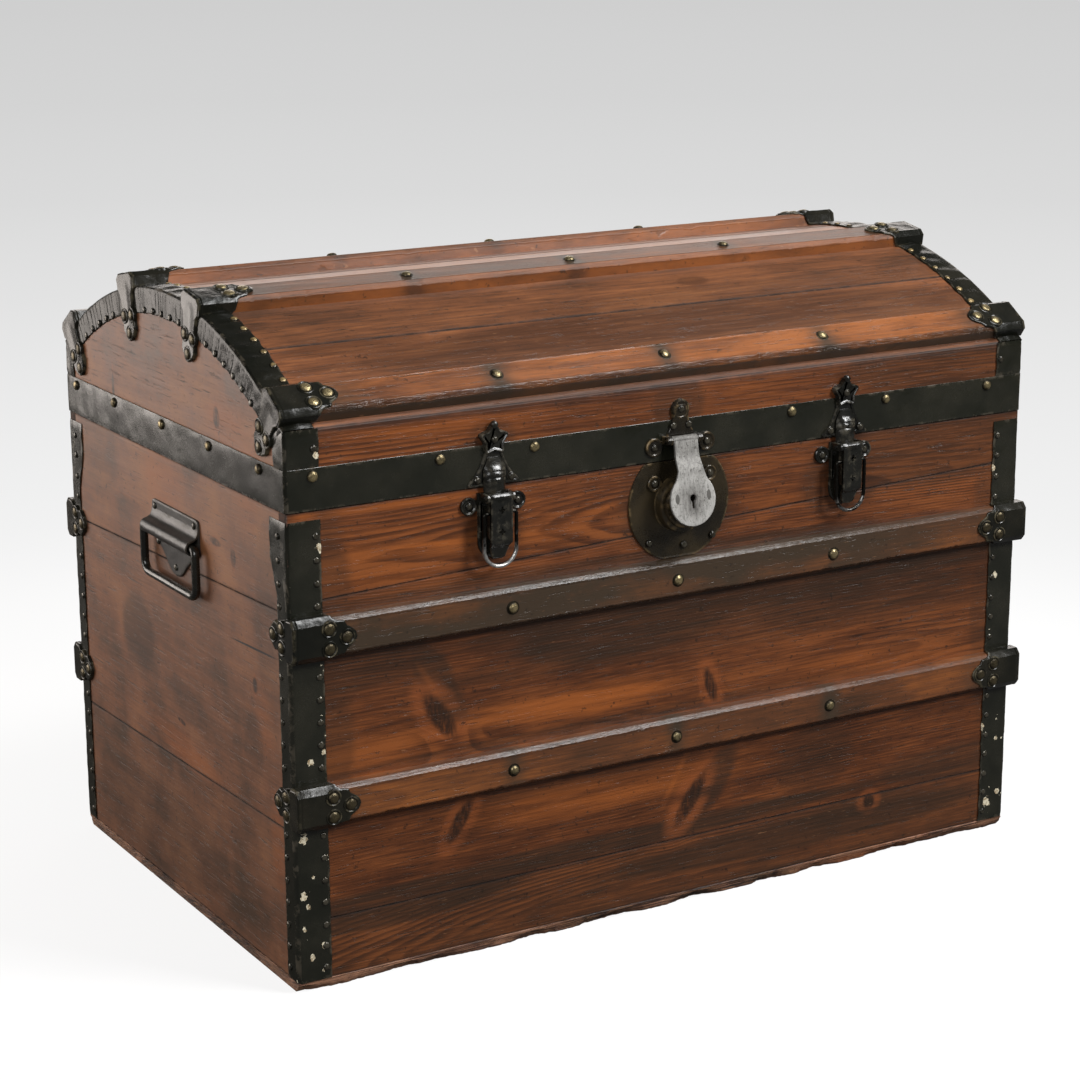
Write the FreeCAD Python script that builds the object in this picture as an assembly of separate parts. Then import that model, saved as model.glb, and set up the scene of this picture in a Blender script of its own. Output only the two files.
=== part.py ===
import FreeCAD, Part
import math
import os

V = FreeCAD.Vector

# Dome top trunk. Millimetres. X runs along the front, the front faces -Y, Z is up.
# The origin is on the floor, under the middle of the box.

# ---- Driving dimensions -------------------------------------------------------------

# Box of boards
BOX_LENGTH = 810.0
BOX_DEPTH = 504.0
BOX_HEIGHT = 442.0  # floor to the joint under the lid
WALL = 14.0
BOTTOM = 10.0
FRONT_LOW_BOARD = 56.0  # heights of the lowest and the top board of a wall
FRONT_TOP_BOARD = 61.0
END_LOW_BOARD = 135.0
END_TOP_BOARD = 100.0
BOTTOM_BOARD_WIDTH = 168.0
SEAM = 0.4  # open line between two boards

# Lid of boards, with a round top about an axis below it
LID_GAP = 0.5  # between the box and the closed lid
DOME_RADIUS = 418.0  # outside of the boards
LID_RAIL = 71.0  # height of the lid's front and back, up to the dome
DOME_BOARD = 12.0
DOME_FIRST_SEAM = -162.0  # along the arc, from the crown towards the back
DOME_BOARD_WIDTH = 93.4

# Slats, and the cast clamps over their ends
SLAT_WIDTH = 36.0
SLAT_THICK = 13.0
SLAT_CHAMFER = 4.0
SEAT_CUT = 2.0  # how deep the dome cuts into the underside of a slat or clamp, at most
UPPER_SLAT_DROP = 112.0  # from the joint to its middle
LOWER_SLAT_HEIGHT = 176.0
LID_EDGE_SLAT = 25.0  # along the arc, from the dome's edge to the slat's middle
LID_TOP_SLATS = {"upper_front": -70.0, "upper_rear": 82.0}  # along the arc from the crown
CLAMP_THICK = 1.8
CLAMP_END_THICK = 4.0
CLAMP_REACH = 57.0  # along the slat
CLAMP_LEG_WIDTH = 31.0
BOX_CLAMP_LEG = 34.0  # down the end face, from the slat's seat
LID_CLAMP_LEG = 50.0

# Sheet iron
IRON = 1.3
IRON_FRONT = 33.0  # corner iron's flange on the front and back
IRON_END = 22.0  # its flange on the end
IRON_TOP_END = 34.0  # the same flange where it widens at the top
IRON_TOP_CLEAR = 8.0  # from the iron's top to the joint
IRON_CORNER_RADIUS = 10.0
BAND_HEIGHT = 37.5
BAND = 1.5
BINDING = 1.2
BINDING_FLANGE = 25.0
BINDING_TOP = 30.0

# Round heads of rivets and nails: radius and height
RIVET = (5.0, 3.0)
TACK = (3.4, 1.6)
TACK_PITCH = 21.0
NAIL = (3.6, 2.2)
FRONT_BAND_RIVETS = (-256.0, -160.0, 123.0, 235.0)
END_BAND_RIVETS = (-97.0, 10.0, 126.0)
BAND_CORNER_RIVET = (25.0, 44.0)  # in from the left and right corners of the front
BAND_END_CORNER_RIVET = (49.0, 27.0)  # in from the front and back corners of the ends
SLAT_RIVETS = (-190.0, -12.0, 168.0)

# Lid hinges, on the back
HINGE_X = 240.0
HINGE_WIDTH = 42.0
HINGE_LEAF = 2.0
HINGE_LEAF_BOX = 78.0
HINGE_LEAF_LID = 33.0
HINGE_KNUCKLE = 4.5
HINGE_MIDDLE = 18.0  # length of the box leaf's knuckle
HINGE_PIN = 2.2
HINGE_HEEL = 14.0  # lug that stops the open lid
HINGE_HEEL_THICK = 5.0
LEAF_AIR = 0.5  # between a leaf and the other leaf's knuckle

# Running clearances
PIN_CLEAR = 0.06
SIDE_CLEAR = 0.4

# Lock and hasp
LOCK_X = -4.0
LOCK_DROP = 41.0  # from the joint to the middle of its plate
LOCK_PLATE_RADIUS = 55.5
LOCK_PLATE = 2.0
LOCK_CASE_RADIUS = 28.0
LOCK_CASE_PROUD = 12.0  # from the boards
LOCK_RING_RADIUS = 22.0
LOCK_RING_PROUD = 14.5
LOCK_WALL = 0.8
LOCK_PLATE_CLEAR = 0.5  # to the slat below and the joint above
HASP_PLATE = 2.0
HASP_PLATE_NECK = 8.0
HASP_PLATE_FOOT = 22.0
HASP_PLATE_EAR_SPREAD = 29.0
HASP_PLATE_EAR = 9.0
HASP_PLATE_KNOB = 9.5
HASP_AXIS_RISE = 19.5  # above the lid's lower edge
HASP_AXIS_AIR = 1.0  # from its plate to the knuckles
HASP_WIDTH = 26.0
HASP_THICK = 2.5
HASP_KNUCKLE = 4.0
HASP_PIN = 1.6
HASP_EAR = 6.0  # length of the plate's knuckle at each side of the hasp
HASP_DISC_RADIUS = 25.0
HASP_DISC_DROP = 55.5  # from its axis, when pressed home
HASP_REST_TILT = 8.2  # how far it hangs off the lock
STAPLE_SPREAD = 11.0
STAPLE_RISE = 8.5  # above the disc's middle
STAPLE_LENGTH = 6.6
STAPLE_WIDTH = 3.0
STAPLE_HEIGHT = 5.0
STAPLE_EYE = (1.2, 1.8)  # thickness and height of the finger that locks it
KEYHOLE_RADIUS = 3.2
KEY_CHAMBER = 5.0
BOLT_END = 1.7
BOLT_HEIGHT = 5.0
BOLT_THICK = 4.4
BOLT_THROW = 4.0

# Draw latches at both sides of the lock
LATCH_X = {"left": -203.0, "right": 185.0}
LATCH_BASE = 2.0
LATCH_BASE_WIDTH = 32.0
LATCH_BASE_HEIGHT = 61.0
LATCH_TOP_CLEAR = 5.0  # from the joint down to the base plate
LATCH_EAR_SPREAD = 25.0
LATCH_EAR_DROP = 16.0  # below the joint
LATCH_EAR_RADIUS = 8.0
LATCH_CHEEK = 2.6
LEVER_AXIS_PROUD = 14.0
LEVER_AXIS_DROP = 8.0  # below the joint
LEVER_WIDTH = 22.4
LEVER_RADIUS = 4.0
LEVER_FACE = 41.0  # from the axis to the end of the flat face
LEVER_TAIL = 57.0  # from the axis to the tip
LEVER_THICK = 2.2
LEVER_PIN = 1.5
CLOVER_LEAF = 1.35  # radius of one leaf of the piercings
CLOVER_DROPS = (11.0, 31.0)  # below the lever's axis
LINK_DROP = 14.0  # from the lever's axis to the link's
LINK_WIRE = 1.8
LINK_AIR = 0.5  # from its legs to the cheeks
LINK_LENGTH = 49.0
LINK_BEND = 2.4
KEEPER = 2.2
KEEPER_WIDTH = 52.0
KEEPER_STAR_RISE = 4.5  # above the band
KEEPER_STAR_RADIUS = 14.5
KEEPER_STAR = 2.5
KEEPER_NOSE_WIDTH = 20.0
KEEPER_NOSE_AIR = 0.8  # behind the lever
KEEPER_NOSE_DROP = 11.5  # below the joint

# Handles on both ends
HANDLE_Y = -13.0
HANDLE_AXIS_DROP = 71.0  # below the joint
HANDLE_AXIS_PROUD = 8.5
HANDLE_WIRE = 4.0
HANDLE_DROP = 46.0
HANDLE_AIR = 0.8  # from the barrel's end to the start of the bend
HANDLE_BEND = 6.0
HANDLE_FOOT_BEND = 11.0
HANDLE_TAIL = 26.0  # length of each end inside the barrel
HANDLE_BARREL_LENGTH = 107.0
HANDLE_BARREL_RADIUS = 7.0
HANDLE_PLATE = 2.2
HANDLE_PLATE_TOP = 25.0  # above the axis
HANDLE_PLATE_BOTTOM = 37.0  # below the axis

# ---- Derived places -----------------------------------------------------------------

HALF_LENGTH = BOX_LENGTH / 2
HALF_DEPTH = BOX_DEPTH / 2
LID_BOTTOM = BOX_HEIGHT + LID_GAP
BAND_TOP = LID_BOTTOM + BAND_HEIGHT
BOX_SLAT_HEIGHTS = {"upper": BOX_HEIGHT - UPPER_SLAT_DROP, "lower": LOWER_SLAT_HEIGHT}
DOME_INNER = DOME_RADIUS - DOME_BOARD
DOME_EDGE = math.degrees(math.asin(HALF_DEPTH / DOME_RADIUS))  # where the dome meets the rails
DOME_EDGE_Z = LID_BOTTOM + LID_RAIL
DOME_AXIS_HEIGHT = DOME_EDGE_Z - DOME_RADIUS * math.cos(math.radians(DOME_EDGE))
BAND_FRONT = -HALF_DEPTH - BAND
HINGE_Y = HALF_DEPTH + BAND + HINGE_LEAF + HINGE_KNUCKLE + LEAF_AIR
HINGE_Z = BOX_HEIGHT + LID_GAP / 2
LOCK_Z = BOX_HEIGHT - LOCK_DROP
HASP_Y = BAND_FRONT - HASP_PLATE - HASP_AXIS_AIR - HASP_KNUCKLE
HASP_AXIS_Z = LID_BOTTOM + HASP_AXIS_RISE
HASP_DISC_Z = HASP_AXIS_Z - HASP_DISC_DROP
STAPLE_Z = HASP_DISC_Z + STAPLE_RISE
LEVER_Y = -HALF_DEPTH - LEVER_AXIS_PROUD
LEVER_Z = BOX_HEIGHT - LEVER_AXIS_DROP
LINK_Z = LEVER_Z - LINK_DROP
CHEEK = LEVER_WIDTH / 2 + SIDE_CLEAR  # inner side of the latch's cheeks, from its middle
NOSE_FACE = LEVER_Y + LEVER_RADIUS + KEEPER_NOSE_AIR
HANDLE_AXIS_Z = BOX_HEIGHT - HANDLE_AXIS_DROP
DISC_BACK = -HALF_DEPTH - LOCK_RING_PROUD - SIDE_CLEAR  # hasp pressed onto the lock
BIG = 2000.0

parts = {}


# ---- Shape helpers ------------------------------------------------------------------

def block(x, y, z):
    """Block between two values along each axis, in either order."""
    low = [min(pair) for pair in (x, y, z)]
    size = [max(pair) - min(pair) for pair in (x, y, z)]
    return Part.makeBox(*size, V(*low))


def outline(points, lift):
    """Closed wire through flat points. A point with a third value is passed by an arc."""
    loop = list(points) + [points[0]]
    edges = []
    here = 0
    while here < len(loop) - 1:
        start = lift(*loop[here][:2])
        if len(loop[here + 1]) == 3:
            middle, end = lift(*loop[here + 1][:2]), lift(*loop[here + 2][:2])
            edges.append(Part.Arc(start, middle, end).toShape())
            here += 2
        else:
            edges.append(Part.LineSegment(start, lift(*loop[here + 1][:2])).toShape())
            here += 1
    return Part.Wire(edges)


def plate_x(points, x0, x1):
    """Outline in Y and Z, as thick as from x0 to x1."""
    wire = outline(points, lambda y, z: V(x0, y, z))
    return Part.Face(wire).extrude(V(x1 - x0, 0, 0))


def plate_y(points, y0, y1):
    """Outline in X and Z, as thick as from y0 to y1."""
    wire = outline(points, lambda x, z: V(x, y0, z))
    return Part.Face(wire).extrude(V(0, y1 - y0, 0))


def plate_z(points, z0, z1):
    """Outline in X and Y, as thick as from z0 to z1."""
    wire = outline(points, lambda x, y: V(x, y, z0))
    return Part.Face(wire).extrude(V(0, 0, z1 - z0))


def rod(start, end, radius):
    """Round bar between two points."""
    start, end = V(*start), V(*end)
    return Part.makeCylinder(radius, (end - start).Length, start, end - start)


def bent_wire(corners, bends, radius):
    """Round wire through square corners, each rounded to its bend."""
    edges = []
    start = corners[0]
    for before, corner, after, bend in zip(corners, corners[1:], corners[2:], bends):
        along = (corner - before).normalize() * bend
        away = (after - corner).normalize() * bend
        centre = corner - along + away
        middle = centre + (corner - centre).normalize() * bend
        if (corner - along - start).Length > 0.01:
            edges.append(Part.LineSegment(start, corner - along).toShape())
        edges.append(Part.Arc(corner - along, middle, corner + away).toShape())
        start = corner + away
    edges.append(Part.LineSegment(start, corners[-1]).toShape())
    section = Part.Wire(Part.Circle(corners[0], corners[1] - corners[0], radius).toShape())
    return Part.Wire(edges).makePipeShell([section], True, False)


def head(place, normal, size):
    """Domed head of a rivet or nail, seated on a surface at place."""
    radius, height = size
    sphere = (radius ** 2 + height ** 2) / (2 * height)
    rise = math.degrees(math.asin((sphere - height) / sphere))
    out = V(*normal).normalize()
    centre = V(*place) - out * (sphere - height)
    return Part.makeSphere(sphere, centre, out, rise, 90, 360)


def fuse(shapes):
    """One solid out of shapes that touch or overlap."""
    return shapes[0].multiFuse(shapes[1:]).removeSplitter()


def group(shapes):
    """Separate solids in one node."""
    return Part.makeCompound([solid for shape in shapes for solid in shape.Solids])


def mirrored(shape, sx=1, sy=1):
    """Shape flipped to the right end (sx = -1) or to the back (sy = -1)."""
    if sx < 0:
        shape = shape.mirror(V(0, 0, 0), V(1, 0, 0))
    if sy < 0:
        shape = shape.mirror(V(0, 0, 0), V(0, 1, 0))
    return shape


def on_dome(radius, angle):
    """Y and Z of a point over the dome's axis, at an angle from the crown."""
    turn = math.radians(angle)
    return (radius * math.sin(turn), DOME_AXIS_HEIGHT + radius * math.cos(turn))


def along_arc(distance):
    """Angle from the crown of a point on the dome, from its distance along the arc."""
    return math.degrees(distance / DOME_RADIUS)


def dome_sector(inner, outer, angles, x):
    """Piece of a tube about the dome's axis, between two angles and two X values."""
    low, high = angles
    middle = (low + high) / 2
    points = [
        on_dome(outer, low), on_dome(outer, middle) + ("arc",), on_dome(outer, high),
        on_dome(inner, high), on_dome(inner, middle) + ("arc",), on_dome(inner, low),
    ]
    # the last arc ends at the last point, and a line closes the outline
    return plate_x(points, x[0], x[1])


def dome_solid(radius):
    """Full round bar about the dome's axis, as long as the trunk and more."""
    return rod((-BIG / 2, 0, DOME_AXIS_HEIGHT), (BIG / 2, 0, DOME_AXIS_HEIGHT), radius)


def seat(place, out):
    """Placement of a slat: its X stays, its Z points out of the surface at place (Y, Z)."""
    frame = FreeCAD.Matrix(1, 0, 0, 0, 0, out[1], out[0], place[0], 0, -out[0], out[1], place[1], 0, 0, 0, 1)
    return FreeCAD.Placement(frame)


def placed(shape, placement):
    """Copy of a shape moved by a placement."""
    copy = shape.copy()
    copy.Placement = placement.multiply(copy.Placement)
    return copy


# ---- Box ----------------------------------------------------------------------------

def boards(x, y, seams):
    """Wall of boards laid one on another, with an open line at each joint."""
    levels = [BOTTOM] + list(seams) + [BOX_HEIGHT]
    shapes = []
    for low, high in zip(levels, levels[1:]):
        top = high if high == BOX_HEIGHT else high - SEAM
        shapes.append(block(x, y, (low, top)))
    return group(shapes)


def make_box_boards():
    """Walls and bottom of the box."""
    inner_length, inner_depth = HALF_LENGTH - WALL, HALF_DEPTH - WALL
    ends = (-inner_depth, inner_depth)
    front_seams = (BOTTOM + FRONT_LOW_BOARD, BOX_HEIGHT - FRONT_TOP_BOARD)
    end_seams = (BOTTOM + END_LOW_BOARD, BOX_HEIGHT - END_TOP_BOARD)
    parts["front_boards"] = boards((-HALF_LENGTH, HALF_LENGTH), (-HALF_DEPTH, -inner_depth), front_seams)
    parts["back_boards"] = boards((-HALF_LENGTH, HALF_LENGTH), (inner_depth, HALF_DEPTH), front_seams)
    parts["left_end_boards"] = boards((-HALF_LENGTH, -inner_length), ends, end_seams)
    parts["right_end_boards"] = boards((inner_length, HALF_LENGTH), ends, end_seams)
    edges = [-HALF_DEPTH]
    while edges[-1] + BOTTOM_BOARD_WIDTH < HALF_DEPTH - 1:
        edges.append(edges[-1] + BOTTOM_BOARD_WIDTH)
    edges.append(HALF_DEPTH)
    shapes = []
    for low, high in zip(edges, edges[1:]):
        rear = high if high == HALF_DEPTH else high - SEAM
        shapes.append(block((-HALF_LENGTH, HALF_LENGTH), (low, rear), (0, BOTTOM)))
    parts["bottom_boards"] = group(shapes)


def corner_iron():
    """Angle of sheet iron on the front left corner of the box."""
    low, high = BOTTOM, BOX_HEIGHT - IRON_TOP_CLEAR
    outer_x, outer_y = -HALF_LENGTH - IRON, -HALF_DEPTH - IRON
    inner = outer_x + IRON_FRONT
    bend = IRON_CORNER_RADIUS
    bulge = bend * (1 - math.sqrt(0.5))
    front = plate_y([
        (outer_x, low), (inner, low), (inner, high - bend),
        (inner - bulge, high - bulge, "arc"), (inner - bend, high), (outer_x, high),
    ], outer_y, -HALF_DEPTH)
    edge, wide = outer_y + IRON_END, outer_y + IRON_TOP_END
    end = plate_x([
        (outer_y, low), (edge, low), (edge, high - 2 * IRON_TOP_END), (wide, high - IRON_TOP_END),
        (wide, high - bend), (wide - bulge, high - bulge, "arc"), (wide - bend, high), (outer_y, high),
    ], outer_x, -HALF_LENGTH)
    return fuse([front, end])


def make_corner_irons():
    """Four corner irons of the box."""
    iron = corner_iron()
    for wall, sy in (("front", 1), ("rear", -1)):
        for side, sx in (("left", 1), ("right", -1)):
            parts[f"corner_iron_{wall}_{side}"] = mirrored(iron, sx, sy)


def clear_of_slats(z, reach):
    """True where a height is further than reach from every slat of the box."""
    return all(abs(z - height) > reach for height in BOX_SLAT_HEIGHTS.values())


def make_corner_iron_tacks():
    """Rows of tacks on both flanges of the corner irons."""
    row_x = HALF_LENGTH + IRON - IRON_FRONT + TACK[0] + 1.5
    row_y = HALF_DEPTH + IRON - IRON_END + TACK[0] + 1.5
    clamp_half = SLAT_WIDTH / 2 + CLAMP_THICK + TACK[0]
    shapes = []
    count = int((BOX_HEIGHT - IRON_TOP_CLEAR - BOTTOM - TACK_PITCH) / TACK_PITCH) + 1
    for step in range(count):
        z = BOTTOM + TACK_PITCH / 2 + step * TACK_PITCH
        if not clear_of_slats(z, clamp_half):
            continue
        for sx in (-1, 1):
            for sy in (-1, 1):
                shapes.append(head((sx * row_x, sy * (HALF_DEPTH + IRON), z), (0, sy, 0), TACK))
                shapes.append(head((sx * (HALF_LENGTH + IRON), sy * row_y, z), (sx, 0, 0), TACK))
    parts["corner_iron_tacks"] = group(shapes)


# ---- Slats and their clamps ---------------------------------------------------------

def slat_profile(half, low, top, cut):
    """Bevelled section of a slat or of a clamp over it."""
    left = [(cut - half, top), (-half, top - cut)]
    return [(-half, low), (half, low), (half, top - cut), (half - cut, top)] + left


def slat_bar():
    """Slat lying along X on the plane Z = 0, sunk a little so that a round seat can cut it."""
    profile = slat_profile(SLAT_WIDTH / 2, -SEAT_CUT, SLAT_THICK, SLAT_CHAMFER)
    return plate_x(profile, -HALF_LENGTH, HALF_LENGTH)


def clamp_blank(leg):
    """Cap over the left end of a slat, with a leg down the end face, before it is hollowed."""
    half, top = SLAT_WIDTH / 2 + CLAMP_THICK, SLAT_THICK + CLAMP_THICK
    cut = SLAT_CHAMFER + CLAMP_THICK * (math.sqrt(2) - 1)
    end = -HALF_LENGTH - CLAMP_END_THICK
    nose = -HALF_LENGTH + CLAMP_REACH
    cap = plate_x(slat_profile(half, -SEAT_CUT, top, cut), end, nose)
    plan = plate_z([
        (end, -half), (nose - half, -half), (nose, 0, "arc"), (nose - half, half), (end, half),
    ], -SEAT_CUT, top)
    side = CLAMP_LEG_WIDTH / 2
    plate = plate_x([
        (-half, 0), (-side, -side), (-side, side - leg), (0, -leg, "arc"), (side, side - leg),
        (side, -side), (half, 0), (half, top - cut), (half - cut, top), (cut - half, top), (-half, top - cut),
    ], end, -HALF_LENGTH)
    return cap.common(plan), plate


def clamp_rivets(leg):
    """Three rivets on the cap and three on the leg of the left clamp."""
    top, end = SLAT_THICK + CLAMP_THICK, -HALF_LENGTH - CLAMP_END_THICK
    radius = RIVET[0]
    tip = CLAMP_REACH - 2 * radius + 1
    across = SLAT_WIDTH / 4
    shapes = [head((-HALF_LENGTH + tip, 0, top), (0, 0, 1), RIVET)]
    for side in (-across, across):
        shapes.append(head((-HALF_LENGTH + tip - 3.4 * radius, side, top), (0, 0, 1), RIVET))
        shapes.append(head((end, side * 0.95, 4.9 * radius - leg), (-1, 0, 0), RIVET))
    shapes.append(head((end, 0, 1.6 * radius - leg), (-1, 0, 0), RIVET))
    return group(shapes)


def slat_rivets():
    """Rivets along the middle of a slat."""
    return group([head((x, 0, SLAT_THICK), (0, 0, 1), RIVET) for x in SLAT_RIVETS])


def clamp_at(placement, leg, taken):
    """Both clamps of one slat, hollowed over the pieces in taken."""
    cap, plate = clamp_blank(leg)
    left = fuse([placed(cap, placement), placed(plate, placement)])
    return [mirrored(left, sx).cut(taken) for sx in (1, -1)]


def rivets_at(placement, leg):
    """All rivets of one slat and its clamps."""
    left = placed(clamp_rivets(leg), placement)
    return [placed(slat_rivets(), placement), left, mirrored(left, -1)]


def make_box_slats():
    """Two slats on the front and two on the back, with their clamps and rivets."""
    irons = [parts[name] for name in list(parts) if name.startswith("corner_iron_") and "tacks" not in name]
    inside = block((-HALF_LENGTH, HALF_LENGTH), (-HALF_DEPTH, HALF_DEPTH), (0, BOX_HEIGHT))
    clamps, rivets = [], []
    for wall, face in (("front", -1), ("back", 1)):
        for level, height in BOX_SLAT_HEIGHTS.items():
            placement = seat((face * HALF_DEPTH, height), (face, 0))
            slat = placed(slat_bar(), placement).cut([inside] + irons)
            parts[f"{wall}_slat_{level}"] = slat
            clamps += clamp_at(placement, BOX_CLAMP_LEG, [inside, slat] + irons)
            rivets += rivets_at(placement, BOX_CLAMP_LEG)
    parts["box_slat_clamps"] = group(clamps)
    parts["box_slat_rivets"] = group(rivets)


# ---- Lid ----------------------------------------------------------------------------

def make_lid_boards():
    """Rails, ends and the curved row of boards of the lid."""
    inner_depth = HALF_DEPTH - WALL
    bevel_z = DOME_AXIS_HEIGHT + inner_depth / math.tan(math.radians(DOME_EDGE))
    rail = plate_x([
        (-HALF_DEPTH, LID_BOTTOM), (-inner_depth, LID_BOTTOM), (-inner_depth, bevel_z),
        (-HALF_DEPTH, DOME_EDGE_Z),
    ], -HALF_LENGTH, HALF_LENGTH)
    parts["lid_front_rail"] = rail
    parts["lid_back_rail"] = mirrored(rail, sy=-1)
    under = block((-HALF_LENGTH, WALL - HALF_LENGTH), (-HALF_DEPTH, HALF_DEPTH), (LID_BOTTOM, BIG))
    end = under.common(dome_solid(DOME_INNER)).cut([rail, parts["lid_back_rail"]])
    parts["lid_end_left"] = end.Solids[0]
    parts["lid_end_right"] = mirrored(end.Solids[0], -1)
    open_angle = along_arc(SEAM)
    edges = [-DOME_EDGE, along_arc(DOME_FIRST_SEAM)]
    while edges[-1] + along_arc(DOME_BOARD_WIDTH) < DOME_EDGE:
        edges.append(edges[-1] + along_arc(DOME_BOARD_WIDTH))
    edges.append(DOME_EDGE)
    shapes = []
    for low, high in zip(edges, edges[1:]):
        stop = high if high == DOME_EDGE else high - open_angle
        shapes.append(dome_sector(DOME_INNER, DOME_RADIUS, (low, stop), (-HALF_LENGTH, HALF_LENGTH)))
    parts["dome_boards"] = group(shapes)


def make_lid_band():
    """Flat iron band around the lid, just above the joint."""
    end = HALF_LENGTH + BAND
    outer = block((-end, end), (BAND_FRONT, -BAND_FRONT), (LID_BOTTOM, BAND_TOP))
    inner = block((-HALF_LENGTH, HALF_LENGTH), (-HALF_DEPTH, HALF_DEPTH), (0, BIG))
    parts["lid_band"] = outer.cut(inner)


def make_dome_bindings():
    """Sheet iron folded over both ends of the dome."""
    outer = -HALF_LENGTH - BINDING
    span = (-DOME_EDGE, DOME_EDGE)
    flange = dome_sector(DOME_RADIUS - BINDING_FLANGE, DOME_RADIUS + BINDING, span, (outer, -HALF_LENGTH))
    top = dome_sector(DOME_RADIUS, DOME_RADIUS + BINDING, span, (outer, outer + BINDING_TOP))
    binding = fuse([flange, top])
    parts["dome_binding_left"] = binding
    parts["dome_binding_right"] = mirrored(binding, -1)


def make_lid_corner_irons():
    """Short corner irons of the lid, above the band."""
    outer_x, outer_y = -HALF_LENGTH - IRON, -HALF_DEPTH - IRON
    front = block((outer_x, outer_x + IRON_FRONT), (outer_y, -HALF_DEPTH), (BAND_TOP, DOME_EDGE_Z))
    edge = outer_y + IRON_END
    edge_z = DOME_AXIS_HEIGHT - edge / math.tan(math.radians(DOME_EDGE))
    end = plate_x([
        (outer_y, BAND_TOP), (edge, BAND_TOP), (edge, edge_z), (-HALF_DEPTH, DOME_EDGE_Z),
        (outer_y, DOME_EDGE_Z),
    ], outer_x, -HALF_LENGTH)
    iron = fuse([front, end])
    corners = [mirrored(iron, sx, sy) for sx in (1, -1) for sy in (1, -1)]
    parts["lid_corner_irons"] = group(corners)


def lid_slat_angles():
    """Angle of each lid slat from the crown."""
    angles = {name: along_arc(distance) for name, distance in LID_TOP_SLATS.items()}
    angles["front"] = along_arc(LID_EDGE_SLAT) - DOME_EDGE
    angles["rear"] = -angles["front"]
    return angles


def make_lid_slats():
    """Four slats along the dome, with their clamps and rivets."""
    dome = dome_solid(DOME_RADIUS).common(block((-HALF_LENGTH, HALF_LENGTH), (-BIG, BIG), (0, BIG)))
    sheets = [parts["dome_binding_left"], parts["dome_binding_right"], parts["lid_corner_irons"]]
    clamps, rivets = [], []
    for name, angle in lid_slat_angles().items():
        turn = math.radians(angle)
        placement = seat(on_dome(DOME_RADIUS, angle), (math.sin(turn), math.cos(turn)))
        slat = placed(slat_bar(), placement).cut([dome] + sheets)
        parts["lid_slat_" + name] = slat
        clamps += clamp_at(placement, LID_CLAMP_LEG, [dome, slat] + sheets)
        rivets += rivets_at(placement, LID_CLAMP_LEG)
    parts["lid_slat_clamps"] = group(clamps)
    parts["lid_slat_rivets"] = group(rivets)


def make_band_rivets():
    """Round rivets along the lid band."""
    z = BAND_TOP - 1.5 * RIVET[0]
    left, right = BAND_CORNER_RIVET
    front, rear = BAND_END_CORNER_RIVET
    shapes = []
    for x in FRONT_BAND_RIVETS + (left - HALF_LENGTH, HALF_LENGTH - right):
        shapes.append(head((x, -HALF_DEPTH - BAND, z), (0, -1, 0), RIVET))
        under_hinge = abs(abs(x) - HINGE_X) < HINGE_WIDTH / 2 + RIVET[0]
        if not under_hinge:
            shapes.append(head((x, HALF_DEPTH + BAND, z), (0, 1, 0), RIVET))
    for y in END_BAND_RIVETS + (front - HALF_DEPTH, HALF_DEPTH - rear):
        for sx in (-1, 1):
            shapes.append(head((sx * (HALF_LENGTH + BAND), y, z), (sx, 0, 0), RIVET))
    parts["lid_band_rivets"] = group(shapes)


def make_lid_tacks():
    """Tacks of the dome bindings and of the lid's corner irons."""
    step = along_arc(TACK_PITCH)
    covered = along_arc(SLAT_WIDTH / 2 + CLAMP_THICK + TACK[0])
    count = int((DOME_EDGE - step / 2) / step)
    shapes = []
    for turn in range(-count, count + 1):
        angle = turn * step
        if any(abs(angle - slat) < covered for slat in lid_slat_angles().values()):
            continue
        low = on_dome(DOME_RADIUS - BINDING_FLANGE + TACK[0] + 1, angle)
        high = on_dome(DOME_RADIUS + BINDING, angle)
        out = (0, math.sin(math.radians(angle)), math.cos(math.radians(angle)))
        row_x = HALF_LENGTH + BINDING - BINDING_TOP + TACK[0] + 1
        for sx in (-1, 1):
            shapes.append(head((sx * (HALF_LENGTH + BINDING), low[0], low[1]), (sx, 0, 0), TACK))
            shapes.append(head((sx * row_x, high[0], high[1]), out, TACK))
    row_x = HALF_LENGTH + IRON - IRON_FRONT + TACK[0] + 1.5
    z = (BAND_TOP + DOME_EDGE_Z) / 2
    for sx in (-1, 1):
        for sy in (-1, 1):
            shapes.append(head((sx * row_x, sy * (HALF_DEPTH + IRON), z), (0, sy, 0), TACK))
    parts["lid_tacks"] = group(shapes)


# ---- Lid hinges ---------------------------------------------------------------------

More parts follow.
